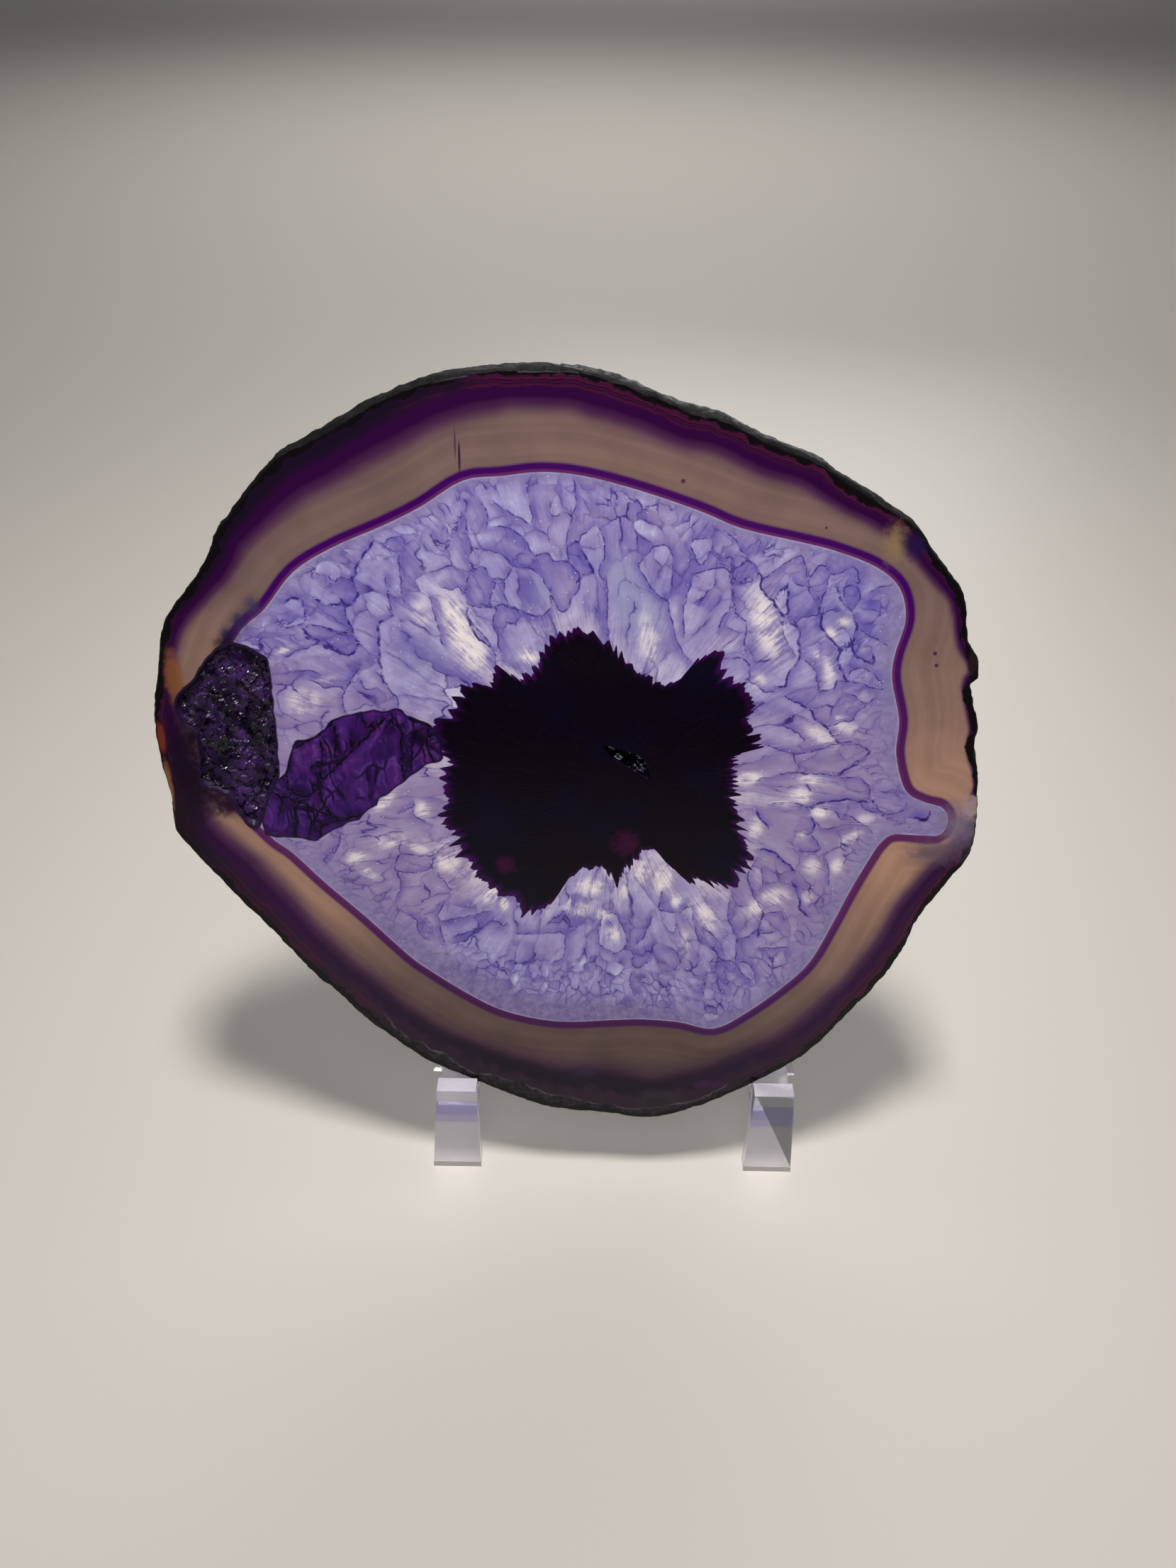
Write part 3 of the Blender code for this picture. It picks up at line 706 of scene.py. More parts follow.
# %% The joints between the crystals
THIN_CRACKS = (
    ((-9, 110.5), (-8.9, 109), (-8.6, 107.2), (-9.3, 104.8), (-9.9, 102.5), (-9.9, 100.3),
     (-9.7, 98)),
    ((-12.7, 106.4), (-12.2, 104.7), (-10.3, 105.5), (-9.3, 104.8)),
    ((-15.5, 106.3), (-15.5, 103.6), (-18.2, 105), (-21.2, 106.6)),
    ((-23.2, 106.6), (-22.1, 104.7), (-22.2, 103.1), (-20.1, 103.1), (-17.4, 102), (-15.9, 100),
     (-15, 98.3)),
    ((-24.9, 99.8), (-22.2, 99.5), (-19.8, 98.6), (-18.6, 97.2), (-17.1, 96.9), (-15.2, 96.3),
     (-13.7, 94.8), (-12.7, 93.1), (-12.5, 90.9), (-13.3, 89.5), (-15.2, 89.1), (-17.5, 90),
     (-19.3, 91), (-19.8, 93.1), (-19.6, 95.1), (-18.6, 96.3)),
    ((-25.1, 99.4), (-25.3, 98.1), (-24.8, 96.5), (-23, 96.6), (-21.5, 95.1), (-19.8, 94.9)),
    ((-24.8, 96.5), (-25.6, 94.6), (-26, 92.2), (-25.5, 90.7), (-22.6, 90.3), (-22.2, 91.9),
     (-21.2, 94.3)),
    ((-15, 98.3), (-14, 99), (-12.9, 99.1), (-12.1, 97.9), (-9.8, 97.6), (-8.3, 96.1), (-7.9,
     94.5), (-9, 92.1), (-10.5, 89.7), (-11.7, 91.3), (-12.7, 93.3)),
    ((-8, 101.4), (-6.9, 102.9), (-5.2, 103.4), (-4.2, 101.5), (-4.1, 98.8), (-4.9, 96.5),
     (-4.4, 95.3)),
    ((-25.3, 90.7), (-25.7, 88.9), (-24.2, 86.7), (-22.3, 84.7), (-21.5, 82.3), (-21.4, 80.8)),
    ((-21.2, 90), (-21.5, 87.6), (-20.7, 83.9), (-20.4, 81.5)),
    ((-22.2, 90.3), (-19.9, 90.8), (-17.5, 89.6)),
    ((1.2, 97.8), (2.7, 99.3), (3.8, 100.5), (5.3, 100.7), (6.3, 99.4), (6.6, 96.7), (6.4,
     93.6), (5.7, 92.2), (4.1, 93.2), (2.9, 94.7), (1.6, 96.6), (1.2, 97.8)),
    ((6, 92.4), (6.5, 90), (7.2, 87.3), (8.4, 84), (10, 82)),
    ((9.9, 96.4), (11.6, 96.8), (13.5, 97.4), (15.4, 96.9), (15.9, 94.5), (16.1, 91.4), (14.7,
     89), (14.4, 87.4)),
    ((9.9, 96.4), (9.4, 94), (8.6, 90.5), (9, 86.5)),
    ((8.7, 100.9), (10.6, 101.7), (12.5, 101.6), (12.5, 100.3), (11.5, 97.9), (10.2, 98.3),
     (9.7, 99.8), (8.7, 100.9)),
    ((12.5, 100.3), (14.1, 99.1), (15.7, 98.8), (16.5, 97.3), (18.4, 98.4), (20, 97.3), (19.7,
     95.8), (17.5, 94.8), (16.2, 96.1)),
    ((16.5, 91.4), (17, 89.8), (18.5, 88.7), (18.8, 85.8), (18.6, 83.8)),
    ((-3.9, 95), (-3.4, 91.8), (-3.5, 88.7), (-3.1, 85.5)),
    ((-27, 104.3), (-27.3, 103), (-28.2, 101.8), (-28.8, 103)),
    ((-25.7, 104.9), (-25.4, 101.9), (-24.9, 99.8)),
    ((-30.7, 101), (-29.2, 100.3), (-28, 101.8)),
    ((15.5, 82.5), (17.9, 82.8), (19.5, 81.8), (19.6, 80.1)),
    ((-46.2, 76.3), (-44.1, 79.2), (-43.4, 80.3)),
    ((-46.2, 76.3), (-46.6, 74.5), (-46.4, 72.7)),
    ((-51.3, 77.7), (-49.1, 76.5), (-46.3, 76.7)),
    ((-45.6, 89.6), (-44.9, 87.5), (-44.4, 85.8)),
    ((-51.9, 87.4), (-54.7, 86.3), (-56.2, 87.7)),
    ((-55.3, 79), (-52.6, 79.4), (-50.6, 79.1)),
    ((-37.8, 54.4), (-36, 55.4)),
    ((-35.6, 56), (-35.7, 53.7), (-34.4, 52.9)),
    ((-38.3, 47.7), (-38.2, 46.5), (-35.7, 46.1), (-33.2, 45.8), (-32.9, 43.8)),
    ((-39, 45.7), (-39.6, 43.6), (-38.8, 41.6)),
    ((-51.7, 45), (-50.1, 47.1)),
    ((-40.7, 79.3), (-39.8, 77.9), (-38.5, 76.1), (-37.6, 74.3), (-37.5, 72.9)),
    ((14.4, 98.9), (15.6, 98.8), (15.9, 96.5), (16.2, 94.7), (16.5, 91.8), (16.8, 90.1)),
    ((16, 96.5), (17, 97.8), (18.2, 98.7), (19.5, 97.9), (20.1, 96.5), (20, 95.8), (18.4, 95.9),
     (17.2, 94.7), (16.3, 94.9)),
    ((14.6, 102.8), (16.2, 101.6), (17.1, 100.1), (18.2, 99.1)),
    ((20.7, 95.4), (22.2, 96.6), (23.3, 97.6), (25, 98.8), (26.5, 99.5)),
    ((25.2, 89.6), (26.4, 88.2), (26.8, 88.8), (27.3, 89.6), (30.2, 90), (30.4, 90.4)),
    ((30.5, 89.7), (29.8, 91), (28.7, 93.3), (27.9, 94.6), (26.6, 94.8), (25.5, 95.6)),
    ((24.3, 88.7), (25.1, 89), (26.7, 88.3)),
    ((24.3, 88.7), (24.7, 86.6), (25.7, 85), (26.8, 83.4)),
    ((30.4, 90), (30.3, 92.3), (31, 94.7), (31, 97), (29.7, 98), (28.5, 96.7), (28.1, 95.6)),
    ((26.5, 99.5), (27.4, 97.7), (27.9, 96.2), (28.2, 94.6)),
    ((30.5, 89.7), (31.4, 90.6), (32.9, 90.8)),
    ((33.7, 93.4), (33.8, 94.4), (35.1, 95), (36.3, 93.4), (36.1, 92.1), (35.5, 90.8)),
    ((35.8, 80), (36.5, 81.1), (38.6, 81.1), (40.1, 80.1), (41.5, 78.7)),
    ((35.9, 79.2), (38.1, 78.9), (39.5, 78.1), (41.6, 77.9)),
    ((27.9, 82.9), (29.6, 81.8), (30.5, 80.4), (31.2, 78.5), (31.2, 77.1)),
    ((35.2, 68.1), (33.1, 67.3), (30.4, 66.5), (28, 66.2), (25.8, 66.9), (23.3, 67.7)),
    ((28, 66.2), (29, 64.2), (29.7, 62.7), (31.3, 62.9)),
    ((35.4, 68.4), (37.9, 68.4), (39.9, 67.3), (40.7, 66.9)),
    ((33.8, 71.4), (35.3, 72), (37.2, 72.4), (38.1, 73.9), (39.3, 75)),
    ((36.4, 76.9), (37.8, 76.1), (39.3, 75.3), (40.3, 75.9)),
    ((15.3, 82.9), (16.9, 82.7), (18.5, 82.7), (19.5, 81.6), (19.8, 79.7), (19.3, 78.9)),
    ((16.7, 90.1), (17.8, 89.4), (18.5, 88.4), (18.8, 86), (18.6, 84.9)),
    ((19.8, 78.9), (20.9, 78.3), (22.1, 77.2), (23.7, 77)),
    ((31.3, 77.4), (33.7, 77.7), (34.1, 79.1), (35.7, 78.9)),
    ((30.7, 97.7), (31.8, 96.7), (33.3, 97), (34.5, 97.8), (35.6, 97.1), (35.8, 95.5)),
    ((38.2, 94.3), (39.7, 94.8), (40.9, 95.1)),
    ((37.4, 87.6), (38.6, 86.6), (39.9, 86.3), (41.3, 85.3)),
    ((22.7, 61.6), (25.2, 62.1), (27.1, 62.7), (29.7, 62.9), (31.6, 62.8), (34.2, 62.5), (36.8,
     62), (39.3, 62.2), (40.7, 61.2), (41.6, 60.2), (41.4, 58.1)),
    ((38, 68.4), (40.7, 66.9), (39.9, 65.7), (38.7, 65), (37.2, 63.9), (35.8, 62.5)),
    ((25.3, 57.1), (27.6, 57.3), (29.8, 57.1), (31.5, 56.3)),
    ((31.5, 56.3), (33.4, 56.5), (36.1, 55.8), (37.2, 54.4), (37.6, 53.4), (36.4, 52.8), (34.8,
     52.4), (33.4, 53.3)),
    ((32.6, 51.1), (33.8, 49.7), (34.2, 48.6), (32.3, 48), (30.6, 48.3)),
    ((23.2, 46.2), (22.3, 44.3), (22.3, 42.1), (23.3, 39.4), (24.7, 37.2), (25.3, 35.3)),
    ((25.3, 35.7), (27.3, 36.1), (28.6, 36.1), (29.1, 34.6)),
    ((19.3, 39.4), (19.1, 35.5), (19.7, 33.2), (20.7, 30.9), (21.1, 28.2), (21.1, 25.4)),
    ((16.5, 25.3), (17.8, 26.1), (19.2, 26), (21.1, 25.4), (22.4, 23.4), (24.1, 21.8)),
    ((21.1, 25.4), (23, 25.4), (24.5, 23.9), (24.8, 21.9)),
    ((15.9, 22.9), (15.7, 20.9), (15.4, 19.2)),
    ((18, 22.1), (18.3, 20.5), (18.9, 19.3)),
    ((25.8, 28.7), (27.9, 28.7), (29.9, 28.9)),
    ((25.6, 31.8), (27.3, 31.8)),
    ((21.1, 30.5), (23.3, 31.2), (24.7, 32.9)),
    ((16.9, 28.9), (17.4, 27.3), (16.6, 25.3)),
    ((38.1, 55.2), (40.5, 53.8), (42.6, 52.4)),
    ((40.1, 57.7), (41.2, 56.3), (43.2, 55.6), (44.9, 54.9)),
    ((35.4, 46.4), (36.2, 44.6), (36.3, 42.3)),
    ((24.3, 44.3), (24.7, 42.1), (24.4, 40.6)),
    ((43.1, 56.7), (44.9, 55.6), (47.4, 56), (47.9, 57.5)),
    ((-51.2, 44.3), (-49.2, 47.4), (-48.6, 49.5)),
    ((-38.2, 48.4), (-38.3, 46.4), (-36.5, 46.2), (-33.3, 46), (-32.9, 46.7)),
    ((-38.3, 46.4), (-39.3, 44.8), (-39.2, 43), (-37.1, 42.6), (-34.4, 43.1), (-33, 44.2)),
    ((-32.7, 46.2), (-31.5, 47.3), (-30.1, 48.6)),
    ((-38.5, 42), (-38.9, 39.4), (-39.7, 37.3)),
    ((-32.3, 36.4), (-30.9, 36.9), (-32.4, 34.3), (-31.5, 33.2), (-28.7, 33.8), (-25.9, 34.4),
     (-23.5, 35.2)),
    ((-37.5, 34.2), (-36.2, 32.9), (-35.8, 30.4), (-34.4, 29.4)),
    ((-32, 33.2), (-32, 31.1), (-31.2, 28.9)),
    ((-18, 30.8), (-13.8, 30.9), (-10, 31), (-10, 26.6), (-11.9, 24.9)),
    ((-3.1, 34.8), (-3.9, 31.1), (-3.4, 28.9), (-1, 27.3), (0.9, 27.9), (1, 31.2), (-0.7, 34.9),
     (-2.1, 35.4)),
    ((0.9, 27.9), (2.5, 27.4), (2.4, 25.2), (3.3, 24.1), (5.2, 25.3)),
    ((5.6, 34.5), (4.5, 30.7), (3.2, 29.1)),
    ((12.7, 36.7), (13.3, 33), (14.4, 29.8), (16.9, 28.2), (17.9, 26.1), (16.7, 23.3)),
    ((9.8, 28.1), (10.8, 27), (10.9, 24.8), (9.1, 23.1)),
    ((2.4, 23), (2.3, 20.8), (2.8, 19.1)),
    ((16, 23.3), (15.9, 21), (15.7, 18.8)),
    ((7, 39.8), (7.1, 36.1), (10.4, 35.6), (11.7, 36.7)),
    ((-47.4, 94.7), (-46.6, 93.9), (-45.3, 94.7), (-44, 94.2)),
    ((-55.9, 87.2), (-54.3, 87), (-52.9, 88.1), (-51.3, 87.8)),
    ((-51.4, 87), (-49.3, 86.8), (-47.7, 86), (-44.6, 85.2)),
    ((-55.1, 81.7), (-52.8, 82.8), (-50, 83.7), (-48.9, 84.3)),
    ((-37.8, 89.2), (-38.1, 90.8), (-38.4, 93), (-38.6, 94.6)),
    ((-36.2, 98), (-36.4, 96.2), (-36.1, 94.6), (-36.1, 93), (-35.8, 91.2)),
    ((-38.4, 93), (-37.2, 91.9), (-36.2, 91.4)),
    ((-31.7, 91.7), (-31, 89.3), (-30.4, 86.8), (-30.1, 84.3)),
    ((-25.9, 103.7), (-25.3, 101.6), (-24.9, 99.8), (-25.3, 98.2), (-24.9, 96.7), (-25.5,
     94.8)),
    ((-31, 101.8), (-30.8, 100.5), (-29.6, 99.2)),
    ((-28.8, 99.7), (-28, 101.1), (-27.1, 102.6), (-27.1, 103.9), (-26.3, 104.7)),
    ((-29.5, 93.4), (-28.2, 93.1), (-26.9, 93.4), (-26.1, 92.1), (-25.1, 90.5), (-23.5, 90.8),
     (-21.9, 90.3)),
)
DARK_CRACKS = (
    ((-9.7, 100.6), (-8.4, 100.8), (-7.6, 99.5), (-6.4, 97.6), (-5.8, 96.1), (-7.1, 95.7),
     (-7.9, 94.9)),
    ((-52, 86), (-50.5, 84.4), (-49.5, 83.7), (-47.6, 83), (-46.3, 82.3), (-44.9, 82.2), (-43.4,
     83.4), (-44.1, 85.2), (-45.4, 85.6), (-48, 86.3)),
    ((-37.9, 89.7), (-37.7, 88.7), (-39.6, 87.6), (-40.1, 85.6), (-40, 82.8), (-40.2, 79.6),
     (-39.8, 78.2)),
    ((20.1, 96.5), (20.7, 95.4), (20.8, 94.2), (21.9, 92.9), (22.7, 92.4), (23.7, 93.7), (24.8,
     94.8)),
    ((22.7, 92.4), (23.6, 90.9), (24.9, 89.8), (25.1, 91.4), (24.8, 94.8)),
    ((26.7, 88.3), (27.3, 86.7), (27.4, 84.5), (27.9, 83.4), (27.2, 81.8), (26.3, 80.6), (26.1,
     79.3), (25.7, 78.1), (24.4, 77.8)),
    ((30.5, 89.7), (30.6, 88.3), (32.1, 86.5), (33.5, 85), (35.1, 84.9), (36, 85.7), (36.3,
     87.9), (35.6, 90), (34.4, 91.6), (33.2, 93.1), (32.6, 94.2)),
    ((35.8, 85.7), (36.2, 84.1), (37.7, 82.8), (39.6, 82), (39.7, 83.1)),
    ((33.8, 84.3), (34.2, 81.9), (35.3, 80), (35.9, 79.2)),
    ((26.4, 76.2), (27.5, 75.4), (30, 74.3), (31, 72.6), (32.7, 71.5), (34.5, 69.2), (35.4,
     68.4)),
    ((40.7, 66.7), (39.8, 65.2), (37.8, 64), (35.8, 62.2)),
    ((31.5, 56.3), (32.7, 57.2), (35.3, 57.6), (37.8, 58), (40.1, 57.7), (42.4, 57.6)),
    ((31.5, 56.3), (32, 55), (32.7, 53.6), (32.7, 52.2), (32, 51.3)),
    ((22.9, 55.4), (23.4, 54.2), (24.7, 52.9)),
    ((23.9, 48.4), (25.7, 48.1), (27.1, 47.3), (28.9, 45.5), (29.9, 44.4)),
    ((30.2, 41.8), (31, 40), (31.4, 38.5), (31.9, 36.6), (33.1, 35.4)),
    ((25.3, 35.3), (24.9, 33.7), (24.8, 31.4)),
    ((49.5, 55), (50.5, 54.9), (51.5, 54.3), (52.1, 55.6)),
    ((-40.4, 100.1), (-41.4, 98.5), (-42.7, 97.1), (-43, 95.8), (-43.6, 94.5), (-43.5, 93.4),
     (-43.1, 92.1), (-43.9, 90.7), (-45.3, 90), (-45.8, 90.9)),
    ((-54.8, 90.5), (-53.5, 91.2), (-52.1, 91.1), (-51.5, 88.9)),
    ((-49.5, 91.4), (-48.5, 90.3), (-46.9, 90.4), (-45.3, 89.9), (-45.3, 88.5), (-44.5, 86.6),
     (-43.3, 83.8)),
    ((-52.1, 86.2), (-51.6, 84.8), (-49.2, 84.3), (-47.1, 83.2), (-45.6, 82.1), (-44.2, 82.7),
     (-43.3, 83.7)),
    ((-40.2, 86.9), (-40, 84.7), (-40.2, 81.9), (-40, 79.1), (-39.6, 77.9)),
    ((-25.7, 88), (-24.7, 86.1), (-23.1, 84.5), (-21.7, 83.4)),
)
CLEAVAGE = (
    ((-55, 65.9), (-52.8, 67.1), (-49.2, 69.8), (-47, 72), (-43.5, 72.8), (-39.4, 73.2), (-37.3,
     72.9), (-35.3, 71.1), (-32.3, 69.7), (-31.2, 67.1)),
    ((-48.2, 69.4), (-48.2, 66.4), (-48.6, 63.8)),
    ((-50.8, 66.8), (-50.6, 64.5), (-51.3, 61.9), (-51.7, 59.6)),
    ((-40.2, 71), (-43.1, 68), (-45.7, 65.4), (-48.3, 62.7), (-50.6, 60.4), (-51.4, 58.8),
     (-51.2, 56.1), (-50.3, 54.2), (-48.3, 52.3)),
    ((-45.8, 68.3), (-45.7, 65.4)),
    ((-43.6, 71.7), (-43, 69.5), (-41.9, 70.3)),
    ((-37.1, 70), (-37.4, 64), (-37.2, 61), (-37.1, 59.5)),
    ((-35.1, 68.9), (-35.6, 65.6), (-36.1, 62.5)),
    ((-32.7, 69.7), (-32.9, 66.7), (-32.2, 63.7)),
    ((-62.5, 58.6), (-60.6, 57.9), (-57.9, 56.8), (-54.8, 55.7), (-52.4, 54.6), (-49.7, 53)),
    ((-57, 59.5), (-55.7, 57.2), (-53.6, 57.2), (-51.4, 58.8)),
    ((-58.9, 53.6), (-58.2, 55.6), (-58.3, 56.8)),
    ((-56.4, 49), (-56, 52.1), (-55.9, 54.9)),
    ((-54.3, 49), (-53.5, 51.4), (-53.8, 54.5)),
    ((-52.1, 49.4), (-51.6, 51.4), (-49.3, 52.6)),
    ((-55.8, 64.4), (-56.8, 61.4), (-56.9, 58.3)),
    ((-51.4, 63.4), (-52.5, 62.2), (-51.6, 60.7)),
    ((-38.7, 72.1), (-38.5, 70), (-36.8, 70)),
    ((-48.3, 52.3), (-46.8, 53.1), (-45, 53.5)),
)


def along_line(drawn, step, wobble, seed):
    """Return points a step apart on a smooth open curve through the drawn points."""
    knots = np.array([drawn[0], *drawn, drawn[-1]], float)
    run = []
    for a, b, c, d in zip(knots, knots[1:], knots[2:], knots[3:]):
        count = max(2, int(np.hypot(*(c - b)) / step))
        for t in np.arange(count) / count:
            bend = (2 * a - 5 * b + 4 * c - d) * t * t + (3 * b - a - 3 * c + d) * t ** 3
            run.append(0.5 * (2 * b + (c - a) * t + bend))
    run.append(knots[-2])
    for i, (across, upward) in enumerate(run):
        push = noise.noise_vector(Vector((across * 0.9, upward * 0.9, seed))) * wobble
        run[i] = np.array((across + push.x, upward + push.y))
    return np.array(run)


def line_field(drawn_lines, wobble, seed):
    """Return each vertex's distance to the nearest line, and the same with the sign of its side."""
    dots, heads = [], []
    for drawn in drawn_lines:
        run = along_line(drawn, 0.12, wobble, seed)
        dots.append(run)
        heads.append(np.gradient(run, axis=0))
    dots, heads = np.concatenate(dots), np.concatenate(heads)
    tree = KDTree(len(dots))
    for i, (across, upward) in enumerate(dots):
        tree.insert((across, upward, 0.0), i)
    tree.balance()
    near = np.full(len(flats), 50.0)
    side = np.full(len(flats), 50.0)
    for i, (across, upward) in enumerate(flats):
        if far[i] < line_here[i] + 1.0:
            _, nearest, distance = tree.find((across, upward, 0.0))
            gap = flats[i] - dots[nearest]
            turn_side = heads[nearest][0] * gap[1] - heads[nearest][1] * gap[0]
            near[i], side[i] = distance, math.copysign(distance, turn_side)
    return near, side


for name, drawn_lines, wobble, seed in (
    ("thin", THIN_CRACKS, 0.35, 3.0), ("dark", DARK_CRACKS, 0.4, 5.0),
    ("cleavage", CLEAVAGE, 0.35, 8.0),
):
    near, side = line_field(drawn_lines, wobble, seed)
    store(cut_mesh, name + "_near", near)
    store(cut_mesh, name + "_side", side)
print("drawn joints:", len(THIN_CRACKS) + len(DARK_CRACKS) + len(CLEAVAGE))

# %% [markdown]
# The crystals on the two sides of a joint tilt differently, so one side is painted lighter, as painted
# light on a tilted crystal. Each vertex takes a vote of the joints around it: plus one for their left
# side, minus one for their right.

# %% Which side of the joints is painted lighter
VOTE_REACH = 2.2


def side_votes(drawn_lines):
    """Return a value from -1 to 1 at each vertex: the mean side of the joints around it."""
    dots, heads = [], []
    for i, drawn in enumerate(drawn_lines):
        run = along_line(drawn, 0.7, 0.35, 3.0)
        dots.append(run)
        heads.append(np.gradient(run, axis=0) * (1.0 if i % 2 else -1.0))
    dots, heads = np.concatenate(dots), np.concatenate(heads)
    tree = KDTree(len(dots))
    for i, (across, upward) in enumerate(dots):
        tree.insert((across, upward, 0.0), i)
    tree.balance()
    votes = np.zeros(len(flats))
    for i, (across, upward) in enumerate(flats):
        if far[i] > line_here[i] + 1.0:
            continue
        total = weight_sum = 0.0
        for spot, dot, distance in tree.find_range((across, upward, 0.0), VOTE_REACH):
            turn_side = heads[dot][0] * (upward - spot.y) - heads[dot][1] * (across - spot.x)
            weight = (1.0 - distance / VOTE_REACH) ** 2 / (0.1 + distance)
            total += weight * max(-1.0, min(1.0, turn_side * 8.0))
            weight_sum += weight
        votes[i] = total / (weight_sum + 0.12)
    return votes


store(cut_mesh, "tilt", side_votes(THIN_CRACKS + DARK_CRACKS))
store(cut_mesh, "cleavage_tilt", side_votes(CLEAVAGE))
print("voted at", int((far < line_here + 1.0).sum()), "vertices")

# %% [markdown]
# Some crystals are milky, some are painted pale by light shining through them, with a few painted
# glints, and some corners drank more dye. Each is noted as a soft oval: its place, its two half widths,
# its turn in degrees and its strength. Three sums of ovals, kept on the vertices, say how pale, how
# blue and how violet.

# %% Milky, bluish and violet spots
PALE = (
    (-26.3, 85.8, 6.8, 2.4, -65, 0.95), (-16, 82.4, 1.3, 1.3, 0, 0.9), (3.2, 85.5, 1.4, 3.8, 10,
    0.7), (22.2, 88.2, 2.2, 5.8, 20, 0.85), (32.2, 86.8, 1.2, 1, 0, 0.9), (34.2, 88.9, 0.9, 0.8,
    0, 0.8), (32.6, 80.7, 1, 2.2, 0, 0.7), (32.6, 69.3, 3.1, 1, -30, 0.7), (36.5, 71, 2, 0.9,
    -15, 0.7), (30.4, 83.4, 0.4, 0.5, 0, 1), (35.2, 72.7, 1, 0.4, 10, 0.9), (20.8, 61.6, 2.2, 1,
    5, 1), (31.7, 61.6, 2.2, 0.9, -5, 0.9), (30, 58.6, 1.8, 1.4, 0, 0.9), (27.6, 57.1, 2.4, 0.5,
    0, 1), (33.6, 55.6, 1.4, 1.1, 0, 0.9), (39.2, 50.9, 0.8, 1.8, -50, 0.7), (41.4, 54.5, 1.2,
    0.8, 0, 0.6), (30.7, 51.1, 1, 0.6, 20, 0.8), (22.8, 52.3, 1, 2, 0, 0.7), (33.2, 45.3, 1.4,
    1.3, 0, 0.6), (37.5, 45.4, 1.1, 1.2, 0, 0.7), (27, 39.1, 2.4, 1.5, 0, 0.65), (23.9, 36.8,
    1.2, 1.7, 0, 0.8), (32.7, 39.2, 1, 1.2, 0, 0.5), (14.6, 35.5, 1.6, 3.4, 20, 0.75), (-30.2,
    45.7, 2, 2.5, 0, 1), (-22.6, 38.7, 1.2, 2.1, -30, 0.9), (-20.5, 36.9, 0.7, 1.2, 0, 1),
    (-25.7, 42.8, 1, 1, 0, 0.7), (-5.5, 40.6, 2.2, 1.5, 0, 1), (3.9, 43.9, 1.4, 2.8, -20, 0.9),
    (7.4, 42.4, 1.7, 2.8, 0, 1), (0.5, 39.6, 0.8, 1.5, 0, 0.9), (-7.3, 36, 2.1, 1.2, 0, 0.8),
    (-3, 34.8, 1.2, 1.2, 0, 0.9), (-1.1, 31.1, 1.1, 1.4, 0, 0.85), (15.1, 35.2, 1.6, 3.4, 25,
    0.75), (9.8, 38.2, 0.8, 1.4, 0, 0.8), (11.8, 29.8, 0.6, 2.8, 10, 0.5), (-40, 48.8, 2.4, 1.1,
    10, 0.8), (-46.4, 45.4, 1.6, 1.1, 0, 0.75), (-44.2, 42.4, 1.4, 0.8, -40, 0.7), (-35.1, 47.3,
    1.6, 0.8, -20, 0.7), (-40.6, 56.3, 2.4, 0.8, 45, 0.75), (-34.3, 54.8, 1.2, 1.4, 0, 0.7),
    (-45.9, 45.6, 1.3, 1, 0, 0.7), (-53, 74.1, 2.4, 2, 10, 0.6), (-49.3, 77.7, 1.6, 0.6, 15,
    0.55), (-55.4, 82.7, 1.2, 0.5, 20, 0.8), (-33.1, 89.2, 1.4, 2.2, 0, 0.55), (21.3, 78.9, 1.2,
    1.2, 0, 0.6), (-38.1, 66.7, 0.6, 0.7, 0, 0.5),
)
BLUISH = (
    (1, 91.2, 3.1, 7.3, 24, 0.8), (-13.5, 93, 2, 2, 0, 0.5), (32.9, 89.8, 2.2, 2, 0, 0.3),
    (-32.8, 81.6, 3.6, 3.6, 0, 0.2),
)
VIOLET = (
    (35.1, 96.1, 2.6, 2.4, 0, 0.6), (38.2, 91.6, 2.2, 1.9, 0, 0.6), (36, 82.6, 2, 1.7, 0, 0.8),
    (39.9, 97.9, 2, 1.3, -30, 0.4), (-44.3, 92.9, 1.5, 2.2, 0, 0.6), (-54.2, 89, 2.6, 1.5, 0,
    0.55), (-59.3, 84.7, 2.2, 0.9, 20, 0.6), (-49.8, 84.2, 3.1, 0.7, -15, 0.6), (-23.3, 88.3,
    1.5, 2.2, 0, 0.6), (-8.3, 97.6, 1, 1.8, -20, 0.9), (5.7, 92.8, 1.1, 0.9, 0, 0.7), (-22.7,
    88, 1.9, 1.9, 0, 0.4), (45.3, 59.2, 2.6, 1.3, 0, 0.6), (50.4, 55.1, 1.4, 0.7, -10, 1),
    (37.9, 57, 4.1, 0.8, 0, 0.6), (22.7, 55.4, 0.5, 1.6, 20, 1), (30.5, 40.6, 0.5, 1.7, 0, 0.8),
    (24.7, 32.3, 0.7, 1.4, 0, 0.8), (-17, 23, 5.2, 2.5, 0, 0.25), (40.8, 79.9, 1.7, 1, 0, 0.6),
    (-0.7, 103.2, 3.3, 0.9, 0, 0.1),
)


def oval_sum(ovals, hardness):
    """Return the strongest soft oval at each vertex."""
    total = np.zeros(len(flats))
    for middle_right, middle_up, wide, tall, degrees, strength in ovals:
        bearing = math.radians(degrees)
        across = flats[:, 0] - middle_right
        upward = flats[:, 1] - middle_up
        lengthwise = (across * math.cos(bearing) + upward * math.sin(bearing)) / wide
        sideways = (upward * math.cos(bearing) - across * math.sin(bearing)) / tall
        distance = np.hypot(lengthwise, sideways)
        total = np.maximum(total, strength / (1.0 + distance ** hardness))
    return total


store(cut_mesh, "pale", oval_sum(PALE, 5.0))
store(cut_mesh, "bluish", oval_sum(BLUISH, 5.0))
store(cut_mesh, "violet", oval_sum(VIOLET, 3.0))
print("ovals:", len(PALE) + len(BLUISH) + len(VIOLET))

